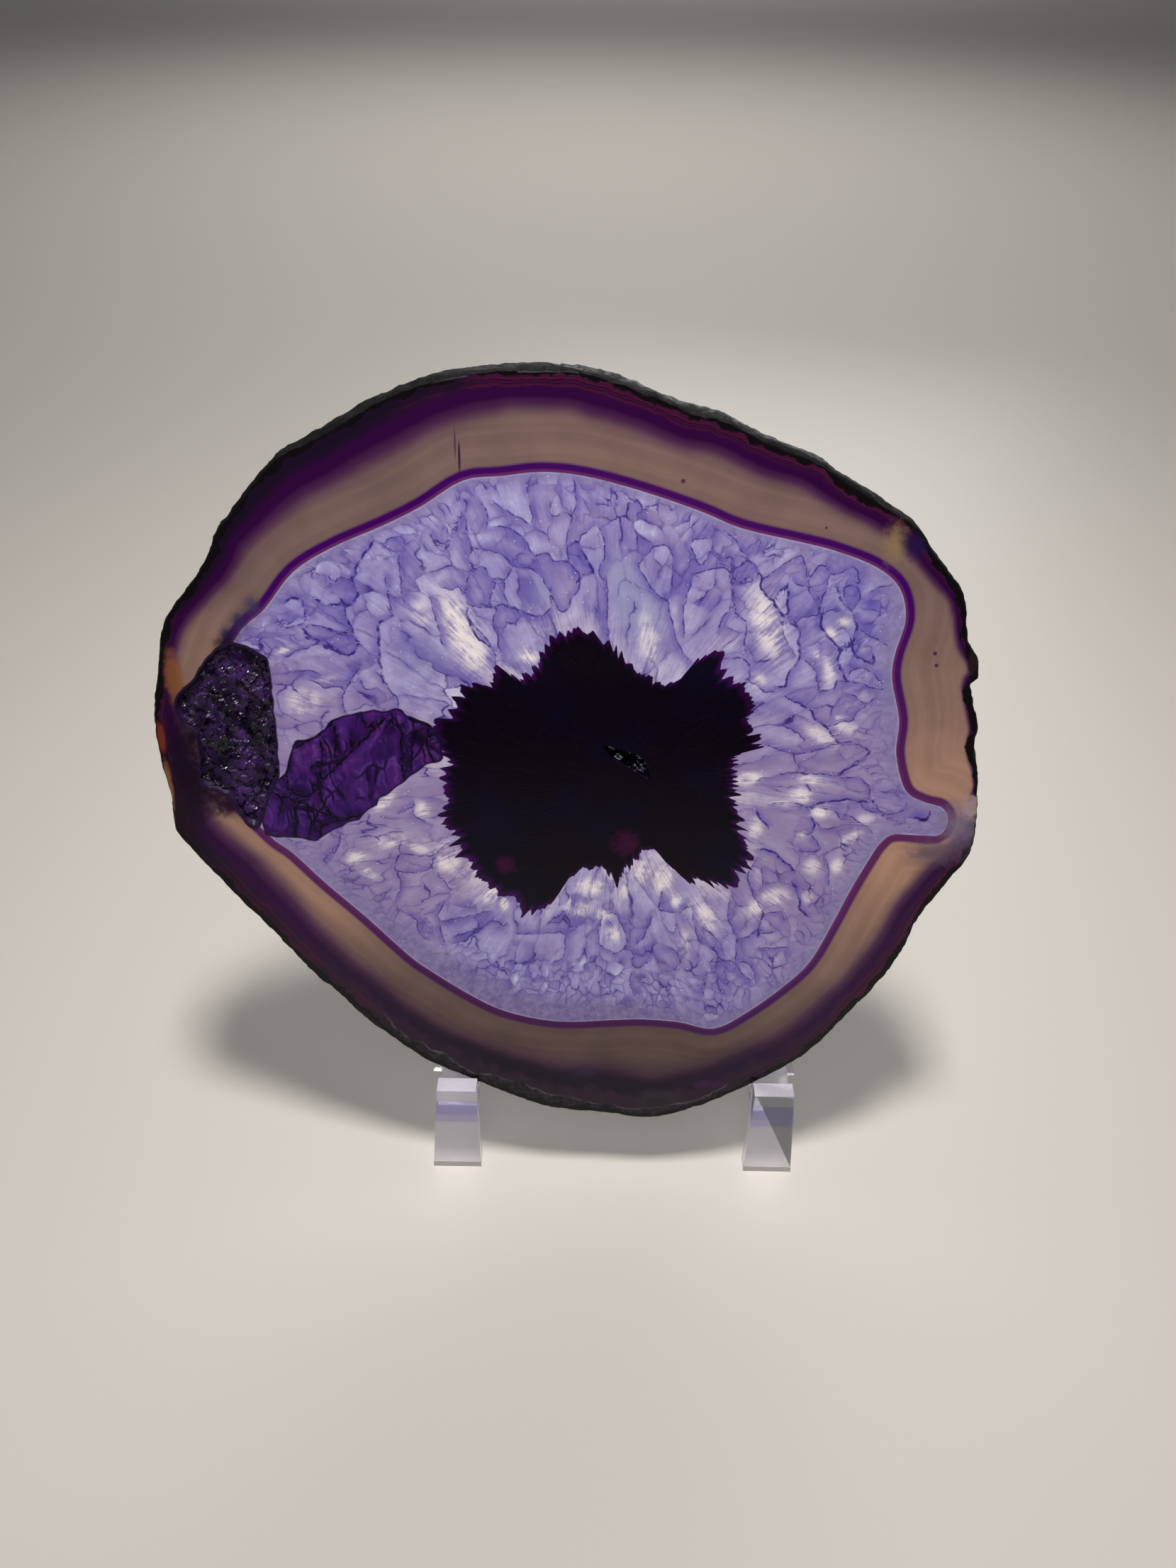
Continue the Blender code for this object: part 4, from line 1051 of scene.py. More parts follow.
# %% [markdown]
# Two UV maps finish the measuring. `plane` holds millimetres across and up the face. `growth`
# holds millimetres along the purple line and inwards from it: the way that the quartz grew, so
# that a pattern stretched along it looks like crystals that point at the middle.

# %% Two maps of the face
line_step = np.hypot(line_reach * 2.0 * math.pi / AROUND, np.roll(line_reach, -1) - line_reach)
line_along = np.concatenate([[0.0], np.cumsum(line_step)])
LINE_LENGTH = line_along[-1]
sweep = (turn - math.pi) % (2.0 * math.pi)
along = np.interp(sweep, np.arange(AROUND + 1) * 2.0 * math.pi / AROUND, line_along)
grow = line_here - far


def corner_values(mesh, values):
    """Spread one value a vertex over the corners of the faces."""
    index = np.empty(len(mesh.loops), int)
    mesh.loops.foreach_get("vertex_index", index)
    return values[index]


def write_map(mesh, name, first, second):
    """Write a UV map from two numbers a corner."""
    layer = mesh.uv_layers.new(name=name)
    layer.data.foreach_set("uv", np.stack([first, second], axis=1).ravel().astype(np.float32))


starts = np.empty(len(cut_mesh.polygons), int)
cut_mesh.polygons.foreach_get("loop_start", starts)
corner_along = corner_values(cut_mesh, along)
face_top = np.maximum.reduceat(corner_along, starts)
sizes = np.diff(np.append(starts, len(corner_along)))
across_seam = (np.repeat(face_top, sizes) - corner_along) > LINE_LENGTH / 2.0
corner_along = corner_along + np.where(across_seam, LINE_LENGTH, 0.0)
for old in list(cut_mesh.uv_layers):
    cut_mesh.uv_layers.remove(old)
write_map(cut_mesh, "plane", corner_values(cut_mesh, right), corner_values(cut_mesh, up))
write_map(cut_mesh, "growth", corner_along, corner_values(cut_mesh, grow))
print("the purple line is", round(LINE_LENGTH), "mm long")

# %% [markdown]
# Stains, glints and dots are all the same thing: a soft-edged oval at a known place. One node
# group makes that mask, with its centre, its two radii and how ragged its edge is as inputs. The
# noise that frays the edge comes in from outside, because all the ovals can share one.

# %% A group for soft ovals
wires, given, result = new_group(
    "soft_oval",
    (("Plane", "Vector"), ("Right", "Float"), ("Up", "Float"), ("Wide", "Float"),
     ("Tall", "Float"), ("Ragged", "Float"), ("Soft", "Float"), ("Quiver", "Float")),
    (("Mask", "Float"),),
)
parts = wires.add("ShaderNodeSeparateXYZ")
wires.put(parts.inputs[0], given["Plane"])
across = wires.math("DIVIDE", wires.minus(parts.outputs[0], given["Right"]), given["Wide"])
upward = wires.math("DIVIDE", wires.minus(parts.outputs[1], given["Up"]), given["Tall"])
squared = wires.math("ADD", wires.times(across, across), wires.times(upward, upward))
distance = wires.math("SQRT", squared)
ragged = wires.times_plus(given["Quiver"], given["Ragged"], distance)
inner_edge = wires.minus(1.0, given["Soft"])
wires.put(result["Mask"], wires.fade(ragged, inner_edge, 1.0, 1.0, 0.0))
print("made the group soft_oval")

# %% [markdown]
# Chalcedony is banded because it settled in layers. The outer layers, counted from the rim, are
# a dark skin, thin maroon bands and a deep purple that fades inwards to a warm grey. The fine
# stripes in the grey run parallel to the inner line, so they are noise along that distance only.

# %% A group for the banded layers
SLOW_SCALE = 0.09
FINE_SCALE = 1.1
SKIN_BLACK = screen(15, 11, 14)
WINE = screen(72, 22, 52)
RUST = screen(96, 40, 44)
NIGHT_PURPLE = screen(32, 9, 38)
DEEP_PURPLE = screen(45, 7, 54)
DUSK = screen(76, 38, 74)
MAUVE = screen(98, 68, 84)
GREIGE = screen(124, 99, 93)
BEIGE = screen(166, 127, 106)
MURK = screen(44, 28, 42)
BLUE_BLACK = screen(20, 14, 31)
CRUST_BLACK = screen(22, 17, 24)
CRUST_GREY = screen(44, 38, 46)
OLD_SKIN = screen(92, 82, 88)
LINE_PURPLE = screen(60, 6, 88)
LINE_WINE = screen(96, 40, 90)
LINE_ROSE = screen(96, 42, 82)
LINE_DARK = screen(66, 20, 68)
LINE_PALE = screen(158, 146, 188)

wires, given, result = new_group(
    "banded_layers",
    (("Plane", "Vector"), ("Rim mm", "Float"), ("Line mm", "Float"), ("Purple mm", "Float"),
     ("Warmth", "Float"), ("Shade", "Float"), ("Dusky", "Float"), ("Wine", "Float")),
    (("Color", "Color"),),
)
slow = wires.centred(given["Plane"], SLOW_SCALE, 2.0)
medium = wires.centred(given["Plane"], 0.3, 3.0)
fine = wires.centred(given["Plane"], FINE_SCALE, 3.0)
wavy = wires.times_plus(slow, 1.2, given["Rim mm"])
wavy = wires.times_plus(medium, 1.3, wavy)
ragged = wires.times_plus(fine, 0.9, wavy)
ragged = wires.times_plus(medium, 1.6, ragged)
skin_share = wires.fade(ragged, 0.95, 1.3, 1.0, 0.0)
hair_place = wires.add("ShaderNodeCombineXYZ")
wires.put(hair_place.inputs[0], wires.times_plus(fine, 0.3, wavy))
hair_bands = wires.noise(hair_place.outputs[0], 2.3, 3.0, 0.6)
hair_tint = wires.ramp(hair_bands, ((0.36, NIGHT_PURPLE), (0.45, WINE), (0.5, NIGHT_PURPLE),
                                    (0.56, WINE), (0.66, RUST)))
patchy = wires.times_plus(slow, 1.6, wires.minus(1.0, given["Wine"]))
hair_tint = wires.blend(wires.fade(patchy, 0.2, 0.7, 0.0, 0.92), hair_tint, BLUE_BLACK)
outer_share = wires.math("DIVIDE", wavy, wires.times_plus(given["Purple mm"], 0.46, 0.2))
share = wires.math("DIVIDE", wires.times_plus(slow, 1.6, given["Rim mm"]), given["Purple mm"])
inner = wires.ramp(
    wires.math("DIVIDE", share, 2.0, clamp=True),
    ((0.0, NIGHT_PURPLE), (0.28, DEEP_PURPLE), (0.39, DEEP_PURPLE), (0.5, DUSK), (0.62, MAUVE),
     (0.85, GREIGE)),
)
stone = wires.blend(wires.fade(outer_share, 0.7, 1.25), hair_tint, inner)
murky = wires.blend(wires.fade(wires.math("ADD", medium, share), 0.45, 0.75), MURK, BLUE_BLACK)
murk_share = wires.times(given["Dusky"], wires.fade(share, 0.85, 1.3, 0.9, 0.0))
stone = wires.blend(murk_share, stone, murky)
crust_edge = wires.times_plus(slow, 6.0, wires.minus(given["Rim mm"], 2.6))
crust_edge = wires.times_plus(medium, 1.8, crust_edge)
crust_edge = wires.times_plus(fine, 0.6, crust_edge)
crust_here = wires.fade(wires.times_plus(slow, 0.6, given["Dusky"]), 0.55, 0.85)
crust_tint = wires.blend(wires.fade(fine, -0.12, 0.15), CRUST_BLACK, CRUST_GREY)
crusted = wires.times(wires.fade(crust_edge, -0.15, 0.1, 0.92, 0.0), crust_here)
stone = wires.blend(crusted, stone, crust_tint)
old_skin = wires.fade(wires.math("ABSOLUTE", crust_edge), 0.05, 0.3, 0.8, 0.0)
old_skin = wires.times(old_skin, wires.fade(medium, -0.12, 0.14))
stone = wires.blend(wires.times(old_skin, crust_here), stone, OLD_SKIN)
inner_stone = wires.blend(given["Warmth"], GREIGE, BEIGE)
dusk_reach = wires.times_plus(given["Dusky"], 0.9, 1.6)
grey_share = wires.fade(share, 1.0, dusk_reach)
stone = wires.blend(grey_share, stone, inner_stone)
stripe_place = wires.add("ShaderNodeCombineXYZ")
wires.put(stripe_place.inputs[0], wires.times_plus(slow, 1.5, given["Line mm"]))
stripes = wires.noise(stripe_place.outputs[0], 0.45, 4.0, 0.6)
stripe_light = wires.fade(stripes, 0.3, 0.7, 0.87, 1.1)
cloudy = wires.fade(wires.noise(given["Plane"], 0.12, 3.0), 0.3, 0.7, 0.92, 1.07)
brightness = wires.times(wires.times(stripe_light, cloudy), given["Shade"])
tone = wires.add("ShaderNodeCombineColor")
for socket in tone.inputs[:3]:
    wires.put(socket, brightness)
shaded = wires.blend(1.0, stone, tone.outputs[0], "MULTIPLY")
striped = wires.blend(wires.fade(share, 0.7, 1.1), stone, shaded)
striped = wires.blend(skin_share, striped, SKIN_BLACK)
near_line = wires.fade(given["Line mm"], 0.7, 2.1, 0.4, 0.0)
haloed = wires.blend(near_line, striped, LINE_PURPLE)
on_line = wires.times(wires.fade(given["Line mm"], 0.0, 0.1),
                      wires.fade(given["Line mm"], 1.2, 1.7, 1.0, 0.0))
outer_line = wires.blend(wires.times(given["Warmth"], 0.8), LINE_PURPLE, LINE_ROSE)
line_tint = wires.blend(wires.fade(given["Line mm"], 0.3, 0.6), LINE_WINE, outer_line)
line_tint = wires.blend(wires.times(given["Dusky"], 0.85), line_tint, LINE_DARK)
wires.put(result["Color"], wires.blend(on_line, haloed, line_tint))
print("made the group banded_layers")

# %% [markdown]
# The quartz grew as crystals that crowd each other: small grains near the line and long wedges
# further in. Voronoi cells are such a crowd. Three sizes of cells are laid out on the `growth`
# map, stretched along the way they grew, and the dye that crept between them draws their edges.

# %% A group for the crystal wedges
QUARTZ_DARK = screen(108, 94, 162)
QUARTZ_MID = screen(140, 127, 178)
QUARTZ_LIGHT = screen(168, 160, 202)
QUARTZ_WHITE = screen(202, 197, 218)
QUARTZ_WARM = screen(150, 126, 156)
QUARTZ_BLUE = screen(150, 154, 186)
HAZE = screen(124, 112, 152)
HAZE_LOW = screen(104, 88, 128)
CRACK = screen(50, 30, 116)
VIOLET_DYE = screen(84, 66, 164)
CREAM = screen(236, 224, 222)
SPARK = screen(225, 222, 245)

wires, given, result = new_group(
    "crystal_wedges",
    (("Plane", "Vector"), ("Growth", "Vector"), ("Zone", "Float"), ("Line mm", "Float"),
     ("Coarse", "Float"), ("Glow", "Float"), ("Warmth", "Float"), ("Drawn", "Float"),
     ("Drawn near", "Float"), ("Tilt", "Float"), ("Pale", "Float"), ("Bluish", "Float"),
     ("Violet", "Float"), ("Dusky", "Float")),
    (("Color", "Color"), ("Crack", "Float")),
)
drifted = wires.shake(given["Growth"], 0.12, 7.0)
drifted = wires.shake(drifted, 0.45, 2.2)
drifted = wires.shake(drifted, 1.6, 0.5)


def wedge_layer(across, along, crack_width):
    """Return one size of crystal: a random colour a cell, its own shading and its cracks."""
    stretched = wires.stretch(drifted, across, along)
    crowd = wires.cells(stretched, 1.0, randomness=0.95)
    gap = wires.cells(stretched, 1.0, "DISTANCE_TO_EDGE", 0.95).outputs["Distance"]
    offset = wires.add("ShaderNodeVectorMath", operation="SUBTRACT")
    wires.put(offset.inputs[0], stretched)
    wires.put(offset.inputs[1], crowd.outputs["Position"])
    lean = wires.add("ShaderNodeVectorMath", operation="SUBTRACT")
    wires.put(lean.inputs[0], crowd.outputs["Color"])
    lean.inputs[1].default_value = (0.5, 0.5, 0.5)
    shading = wires.add("ShaderNodeVectorMath", operation="DOT_PRODUCT")
    wires.put(shading.inputs[0], offset.outputs[0])
    wires.put(shading.inputs[1], lean.outputs[0])
    crack = wires.fade(gap, 0.0, crack_width, 1.0, 0.0)
    soft = wires.fade(gap, 0.0, crack_width * 6.0, 0.0, 1.0)
    return crowd.outputs["Color"], shading.outputs["Value"], crack, soft


small = wedge_layer(0.48, 0.4, 0.07)
middle = wedge_layer(0.2, 0.155, 0.04)
large = wedge_layer(0.1, 0.075, 0.022)
inwards = wires.minus(2.0, given["Zone"])
depth_noise = wires.centred(given["Plane"], SLOW_SCALE, 2.0)
coarse_here = wires.times_plus(depth_noise, 0.8, wires.times(inwards, 1.25))
coarse_here = wires.times_plus(given["Coarse"], 0.45, coarse_here)
is_middle = wires.fade(coarse_here, 0.52, 0.56)
is_large = wires.fade(coarse_here, 1.0, 1.04)


def by_size(index):
    """Pick one measure from the size of crystal that grows here."""
    mixed = wires.blend(is_middle, small[index], middle[index])
    return wires.blend(is_large, mixed, large[index])


cell_colour = by_size(0)
shading = wires.channel(by_size(1), 0)
crack = wires.channel(by_size(2), 0)
soft = wires.channel(by_size(3), 0)
feathers = wires.noise(wires.stretch(given["Growth"], 1.5, 0.17), 1.0, 5.0, 0.65, 0.6)
cloud = wires.noise(given["Plane"], 0.35, 5.0, 0.65)
plain_here = wires.fade(given["Drawn near"], 0.8, 2.6, 0.4, 1.0)
cell_light = wires.times(wires.minus(wires.channel(cell_colour, 0), 0.5), 0.34)
cell_light = wires.times_plus(shading, 0.9, cell_light)
light = wires.times_plus(cell_light, plain_here, 0.4)
light = wires.times_plus(soft, 0.12, light)
# Painted light: the Tilt vote makes one side of each drawn joint lighter.
light = wires.times_plus(given["Tilt"], 0.17, light)
light = wires.times_plus(wires.minus(feathers, 0.5), 0.6, light)
light = wires.times_plus(wires.minus(cloud, 0.5), 0.8, light)
broad_cloud = wires.noise(given["Plane"], 0.13, 2.0)
light = wires.times_plus(wires.minus(broad_cloud, 0.5), 0.8, light)
quartz = wires.ramp(light, ((0.05, QUARTZ_DARK), (0.4, QUARTZ_MID), (0.75, QUARTZ_LIGHT),
                            (1.0, QUARTZ_WHITE)))
warm_share = wires.fade(wires.times_plus(broad_cloud, 0.9, given["Warmth"]), 0.35, 1.0, 0.0, 0.55)
quartz = wires.blend(warm_share, quartz, QUARTZ_WARM)
quartz = wires.blend(wires.times(given["Bluish"], 0.7), quartz, QUARTZ_BLUE)
haze_depth = wires.times_plus(given["Coarse"], -7.0, given["Line mm"])
haze = wires.fade(haze_depth, -8.0, -2.6, 0.0, 0.86)
haze = wires.larger(haze, wires.fade(given["Line mm"], -1.7, -0.5, 0.0, 0.7))
grainy = wires.fade(wires.noise(given["Plane"], 0.8, 6.0, 0.75), 0.35, 0.65)
haze_low = wires.blend(given["Dusky"], HAZE, HAZE_LOW)
haze_tint = wires.blend(grainy, haze_low, wires.blend(0.35, haze_low, QUARTZ_LIGHT))
quartz = wires.blend(haze, quartz, haze_tint)
violet = wires.times(given["Violet"], wires.fade(cloud, 0.25, 0.6, 1.0, 0.45))
quartz = wires.blend(violet, quartz, VIOLET_DYE)
# Painted glow: the crystal tips at the heart's edge turn cream, as if light shone through them.
tip_glow = wires.times(wires.fade(given["Zone"], 1.0, 1.3, 1.0, 0.0), given["Glow"])
tip_glow = wires.times(tip_glow, wires.fade(wires.channel(cell_colour, 1), 0.4, 0.75))
tip_glow = wires.times(tip_glow, 0.6)
milk_and_glow = wires.larger(tip_glow, wires.times(given["Pale"], 1.2, clamp=True))
milk_texture = wires.times_plus(feathers, 0.5, wires.times(cloud, 0.5))
milk_texture = wires.times_plus(given["Tilt"], 0.04, milk_texture)
milk_texture = wires.fade(milk_texture, 0.4, 0.56, 0.12, 1.0)
quartz = wires.blend(wires.times(milk_and_glow, milk_texture), quartz, CREAM)
dye = wires.fade(wires.noise(given["Plane"], 0.2, 4.0), 0.38, 0.6, 0.25, 1.0)
crack = wires.times(crack, dye)
crack = wires.times(crack, wires.minus(1.0, haze))
crack = wires.times(crack, plain_here)
crack = wires.times(crack, wires.fade(given["Pale"], 0.3, 0.7, 1.0, 0.2))
drawn_strength = wires.fade(wires.noise(given["Plane"], 0.8, 4.0), 0.36, 0.56, 0.22, 1.0)
drawn = wires.times(given["Drawn"], drawn_strength)
crack = wires.larger(crack, drawn)
dye_side = wires.fade(given["Tilt"], -0.5, 0.4, 1.0, 0.3)
halo = wires.fade(given["Drawn near"], 0.1, 1.4, 0.5, 0.0)
halo = wires.times(wires.times(halo, dye_side), wires.fade(cloud, 0.3, 0.6, 0.35, 1.0))
near_crack = wires.times(wires.minus(1.0, soft), wires.times(dye, 0.22))
halo = wires.larger(halo, near_crack)
halo = wires.times(halo, wires.times_plus(haze, -0.8, 1.0))
quartz = wires.blend(halo, quartz, VIOLET_DYE)
quartz = wires.blend(wires.times(crack, 0.92), quartz, CRACK)
# Painted highlights: rare tiny white sparkles on the quartz.
glitter = wires.cells(given["Plane"], 1.5)
is_spark = wires.math("GREATER_THAN", wires.channel(glitter.outputs["Color"], 2), 0.982)
spark = wires.times(is_spark, wires.fade(glitter.outputs["Distance"], 0.08, 0.18, 1.0, 0.0))
quartz = wires.blend(wires.times(spark, 0.7), quartz, SPARK)
pale_edge = wires.times(wires.fade(given["Line mm"], -0.35, -0.1, 0.0, 0.9),
                        wires.fade(cloud, 0.35, 0.6, 0.3, 1.0))
quartz = wires.blend(pale_edge, quartz, LINE_PALE)
wires.put(result["Color"], quartz)
wires.put(result["Crack"], crack)
print("made the group crystal_wedges")

# %% [markdown]
# The cleaved patch shows flat breaks of dark amethyst: a few broad facets of slightly different purple,
# with black cracks between them and finer cracks across them. The facets are painted lighter on one
# side of the cleavage lines, as painted light on their tilt, and a thin painted highlight runs beside
# the fine cracks.

# %% A group for cleaved crystal
CLEAVED_CRACK = screen(10, 5, 18)
CLEAVED_BLACK = screen(24, 9, 42)
CLEAVED_DARK = screen(48, 18, 82)
CLEAVED_MID = screen(70, 30, 106)
CLEAVED_LIGHT = screen(98, 54, 130)
CLEAVED_ROSE = screen(84, 24, 84)
CLEAVED_HIGHLIGHT = screen(124, 92, 160)

wires, given, result = new_group(
    "cleaved_crystal",
    (("Plane", "Vector"), ("Drawn", "Float"), ("Drawn near", "Float"), ("Tilt", "Float"),
     ("Edge mm", "Float")),
    (("Color", "Color"), ("Crack", "Float")),
)
bent = wires.shake(given["Plane"], 0.35, 1.6)
splinters = wires.stretch(bent, 0.34, 0.2, math.radians(-12.0))
crowd = wires.cells(splinters, 1.0)
splinter_gap = wires.cells(splinters, 1.0, "DISTANCE_TO_EDGE").outputs["Distance"]
broken_here = wires.fade(wires.noise(given["Plane"], 0.25, 3.0), 0.45, 0.57)
# Painted highlight: a thin bright line beside the fine cracks.
edge_highlight = wires.times(wires.fade(splinter_gap, 0.07, 0.11),
                          wires.fade(splinter_gap, 0.12, 0.2, 1.0, 0.0))
edge_highlight = wires.times(edge_highlight, broken_here)
fine_crack = wires.times(wires.fade(splinter_gap, 0.0, 0.07, 0.9, 0.0), broken_here)
edge_crack = wires.fade(given["Edge mm"], -0.5, -0.1, 0.0, 0.9)
drawn_strength = wires.fade(wires.noise(given["Plane"], FINE_SCALE, 3.0), 0.35, 0.55, 0.45, 1.0)
drawn = wires.times(given["Drawn"], drawn_strength)
crack = wires.larger(wires.larger(drawn, fine_crack), edge_crack)
streaks = wires.noise(wires.stretch(bent, 1.6, 0.22, math.radians(-35.0)), 1.0, 5.0, 0.7)
grain = wires.noise(given["Plane"], 0.5, 6.0, 0.7)
tone = wires.times_plus(wires.channel(crowd.outputs["Color"], 0), 0.35, 0.3)
# Painted light: the facets are lighter on one side of the cleavage lines.
tone = wires.times_plus(given["Tilt"], 0.22, tone)
tone = wires.times_plus(wires.minus(grain, 0.5), 0.8, tone)
tone = wires.times_plus(wires.minus(streaks, 0.5), 0.6, tone)
tone = wires.times(tone, wires.fade(given["Drawn near"], 0.1, 1.2, 0.6, 1.1))
colour = wires.ramp(tone, ((0.05, CLEAVED_BLACK), (0.4, CLEAVED_DARK), (0.75, CLEAVED_MID),
                           (1.0, CLEAVED_LIGHT)))
rosy = wires.fade(wires.noise(given["Plane"], 0.16, 2.0), 0.5, 0.65, 0.0, 0.2)
colour = wires.blend(rosy, colour, CLEAVED_ROSE)
colour = wires.blend(wires.times(edge_highlight, 0.16), colour, CLEAVED_HIGHLIGHT)
wires.put(result["Color"], wires.blend(crack, colour, CLEAVED_CRACK))
wires.put(result["Crack"], crack)
print("made the group cleaved_crystal")

# %% [markdown]
# The face brings these together. Each zone's mask picks its colour, then the stains and glints
# go on top. The stone is polished, so it has a smooth coat over a slightly softer body.

# %% The polished face
THIN_WIDTH = 0.17
DARK_WIDTH = 0.28
CLEAVAGE_WIDTH = 0.27
QUARTZ_IOR = 1.54
HEART_BLACK = screen(9, 2, 14)
HEART_BLUE = screen(9, 4, 30)
HEART_EDGE = screen(60, 8, 80)
HEART_GLINT = screen(70, 8, 56)
POCKET_WALL = screen(34, 21, 46)

polished, wires, shader = new_material("polished_agate")
plane = wires.flat_map("plane")
growth = wires.flat_map("growth")
zone_value = wires.attribute("zone")
line_value = wires.attribute("line_mm")
warmth = wires.attribute("warmth")
bands = use_group(
    wires, "banded_layers", Plane=plane, Rim_mm=wires.attribute("rim_mm"), Line_mm=line_value,
    Purple_mm=wires.attribute("purple_mm"), Warmth=warmth, Shade=wires.attribute("shade"),
    Dusky=wires.attribute("dusky"), Wine=wires.attribute("wine"))["Color"]
quiver = wires.centred(plane, 1.6, 4.0, 0.6)


def drawn_line(name, width):
    """Return a mask of the drawn joints of one kind, as a line of a given half width."""
    side = wires.times_plus(quiver, 0.5, wires.attribute(name + "_side"))
    side = wires.math("ABSOLUTE", side)
    return wires.times(wires.fade(side, width * 0.5, width, 1.0, 0.0),
                       wires.fade(wires.attribute(name + "_near"), 0.5, 0.9, 1.0, 0.0))


thin = wires.times(drawn_line("thin", THIN_WIDTH), 0.85)
drawn_joints = wires.larger(thin, drawn_line("dark", DARK_WIDTH))
joint_near = wires.math("MINIMUM", wires.attribute("thin_near"), wires.attribute("dark_near"))
wedges = use_group(
    wires, "crystal_wedges", Plane=plane, Growth=growth, Zone=zone_value, Line_mm=line_value,
    Coarse=wires.attribute("coarse"), Glow=wires.attribute("glow"), Warmth=warmth,
    Drawn=drawn_joints, Drawn_near=joint_near, Tilt=wires.attribute("tilt"),
    Pale=wires.attribute("pale"), Bluish=wires.attribute("bluish"),
    Violet=wires.attribute("violet"), Dusky=wires.attribute("dusky"))
cleaved = use_group(
    wires, "cleaved_crystal", Plane=plane, Drawn=drawn_line("cleavage", CLEAVAGE_WIDTH),
    Drawn_near=wires.attribute("cleavage_near"), Tilt=wires.attribute("cleavage_tilt"),
    Edge_mm=wires.attribute("cleaved_mm"))
oval_quiver = wires.centred(plane, 0.7, 4.0, 0.6)


def oval(right, up, wide, tall, ragged=0.0, soft=0.6):
    """Return a soft oval mask at a place on the face, in millimetres."""
    return use_group(wires, "soft_oval", Plane=plane, Right=right, Up=up, Wide=wide, Tall=tall,
                     Ragged=ragged, Soft=soft, Quiver=oval_quiver)["Mask"]


heart_cloud = wires.noise(plane, 0.07, 3.0)
heart_colour = wires.blend(wires.fade(heart_cloud, 0.45, 0.7, 0.0, 0.7), HEART_BLACK, HEART_BLUE)
heart_rim = wires.times(wires.fade(zone_value, 0.93, 1.0),
                        wires.fade(heart_cloud, 0.4, 0.6, 0.25, 0.8))
heart_colour = wires.blend(heart_rim, heart_colour, HEART_EDGE)
# Two painted glints: dull magenta highlights in the dark heart.
for glint_right, glint_up, glint_wide in ((-20.2, 44.6, 2.4), (0.6, 49.0, 3.2)):
    glint = oval(glint_right, glint_up, glint_wide, glint_wide, 1.6, 0.8)
    heart_colour = wires.blend(wires.times(glint, 0.55), heart_colour, HEART_GLINT)

colour = wires.blend(wires.fade(zone_value, 0.995, 1.005), heart_colour, wedges["Color"])
colour = wires.blend(wires.math("GREATER_THAN", line_value, 0.0), colour, bands)
STAINS = (
    ((-74.1, 62.1, 6.4, 17.0), 1.0, screen(24, 9, 27), 0.97),
    ((-75.9, 51.9, 5.0, 9.0), 1.0, screen(28, 13, 25), 0.95),
    ((-73.9, 77.7, 1.9, 6.0), 0.9, screen(124, 76, 44), 0.85),
    ((-77.3, 67.1, 0.9, 3.6), 0.7, screen(112, 46, 30), 0.85),
    ((-77.2, 58.1, 1.0, 6.5), 0.7, screen(124, 84, 62), 0.85),
    ((-67.5, 54.9, 3.2, 1.6), 1.2, screen(62, 18, 52), 0.9),
    ((-64.1, 85.2, 2.4, 2.4), 0.8, screen(34, 26, 66), 0.95),
    ((-62.3, 87.4, 2.6, 2.6), 0.8, screen(44, 38, 78), 0.9),
    ((-60.1, 89.9, 2.1, 2.6), 0.8, screen(56, 50, 84), 0.85),
    ((-67.3, 54.3, 2.3, 1.3), 1.2, screen(84, 20, 62), 0.9),
    ((-64.9, 83.6, 2.6, 2.2), 1.0, screen(24, 16, 34), 0.95),
    ((-71.0, 59.2, 5.8, 9.0), 1.0, screen(25, 10, 27), 0.97),
    ((-67.6, 54.8, 3.6, 3.2), 1.0, screen(33, 12, 34), 0.92),
    ((8.2, -5.2, 5.6, 3.2), 0.6, screen(68, 57, 62), 0.7),
    ((8.2, -5.6, 5.4, 3.1), 0.6, screen(29, 24, 32), 0.95),
    ((-5.9, 1.2, 4.2, 2.6), 1.2, screen(42, 36, 58), 0.7),
    ((17.8, -1.3, 5.0, 1.3), 1.2, screen(64, 14, 64), 0.7),
    ((-72.1, 67.1, 2.6, 5.0), 0.6, screen(25, 10, 27), 0.97),
    ((-68.9, 56.7, 3.4, 2.6), 0.8, screen(36, 12, 36), 0.95),
    ((41.0, 101.4, 2.6, 4.6), 1.2, screen(138, 112, 76), 0.8),
    ((43.9, 101.4, 3.0, 3.2), 1.4, screen(36, 20, 62), 0.95),
    ((57.9, 53.7, 5.5, 6.5), 0.8, screen(118, 102, 122), 0.9),
    ((53.9, 48.3, 7.5, 3.6), 0.8, screen(92, 74, 88), 0.9),
    ((59.0, 57.0, 1.8, 3.0), 1.2, screen(164, 136, 136), 0.8),
    ((55.8, 82.8, 1.3, 2.6), 1.0, screen(38, 24, 22), 0.9),
    ((51.3, 54.5, 1.1, 0.55), 1.0, screen(36, 26, 62), 0.95),
    ((-26.4, 113.5, 0.28, 3.2), 0.1, screen(44, 14, 52), 0.9),
    ((-27.0, 115.5, 0.2, 3.0), 0.1, screen(60, 26, 64), 0.7),
    ((7.6, 110.5, 0.5, 0.45), 0.3, screen(42, 20, 44), 0.8),
    ((30.0, 103.8, 0.3, 0.3), 0.3, screen(42, 20, 44), 0.8),
    ((49.4, 84.0, 0.4, 0.5), 0.3, screen(48, 24, 60), 0.9),
    ((49.9, 82.0, 0.4, 0.4), 0.3, screen(48, 24, 60), 0.9),
)
for (spot_right, spot_up, wide, tall), raggedness, tint, strength in STAINS:
    mask = oval(spot_right, spot_up, wide, tall, raggedness, 0.95 if wide > 2.0 else 0.6)
    colour = wires.blend(wires.times(mask, strength), colour, tint)
in_cleaved = wires.fade(wires.attribute("cleaved_mm"), -0.15, 0.1, 1.0, 0.0)
colour = wires.blend(in_cleaved, colour, cleaved["Color"])
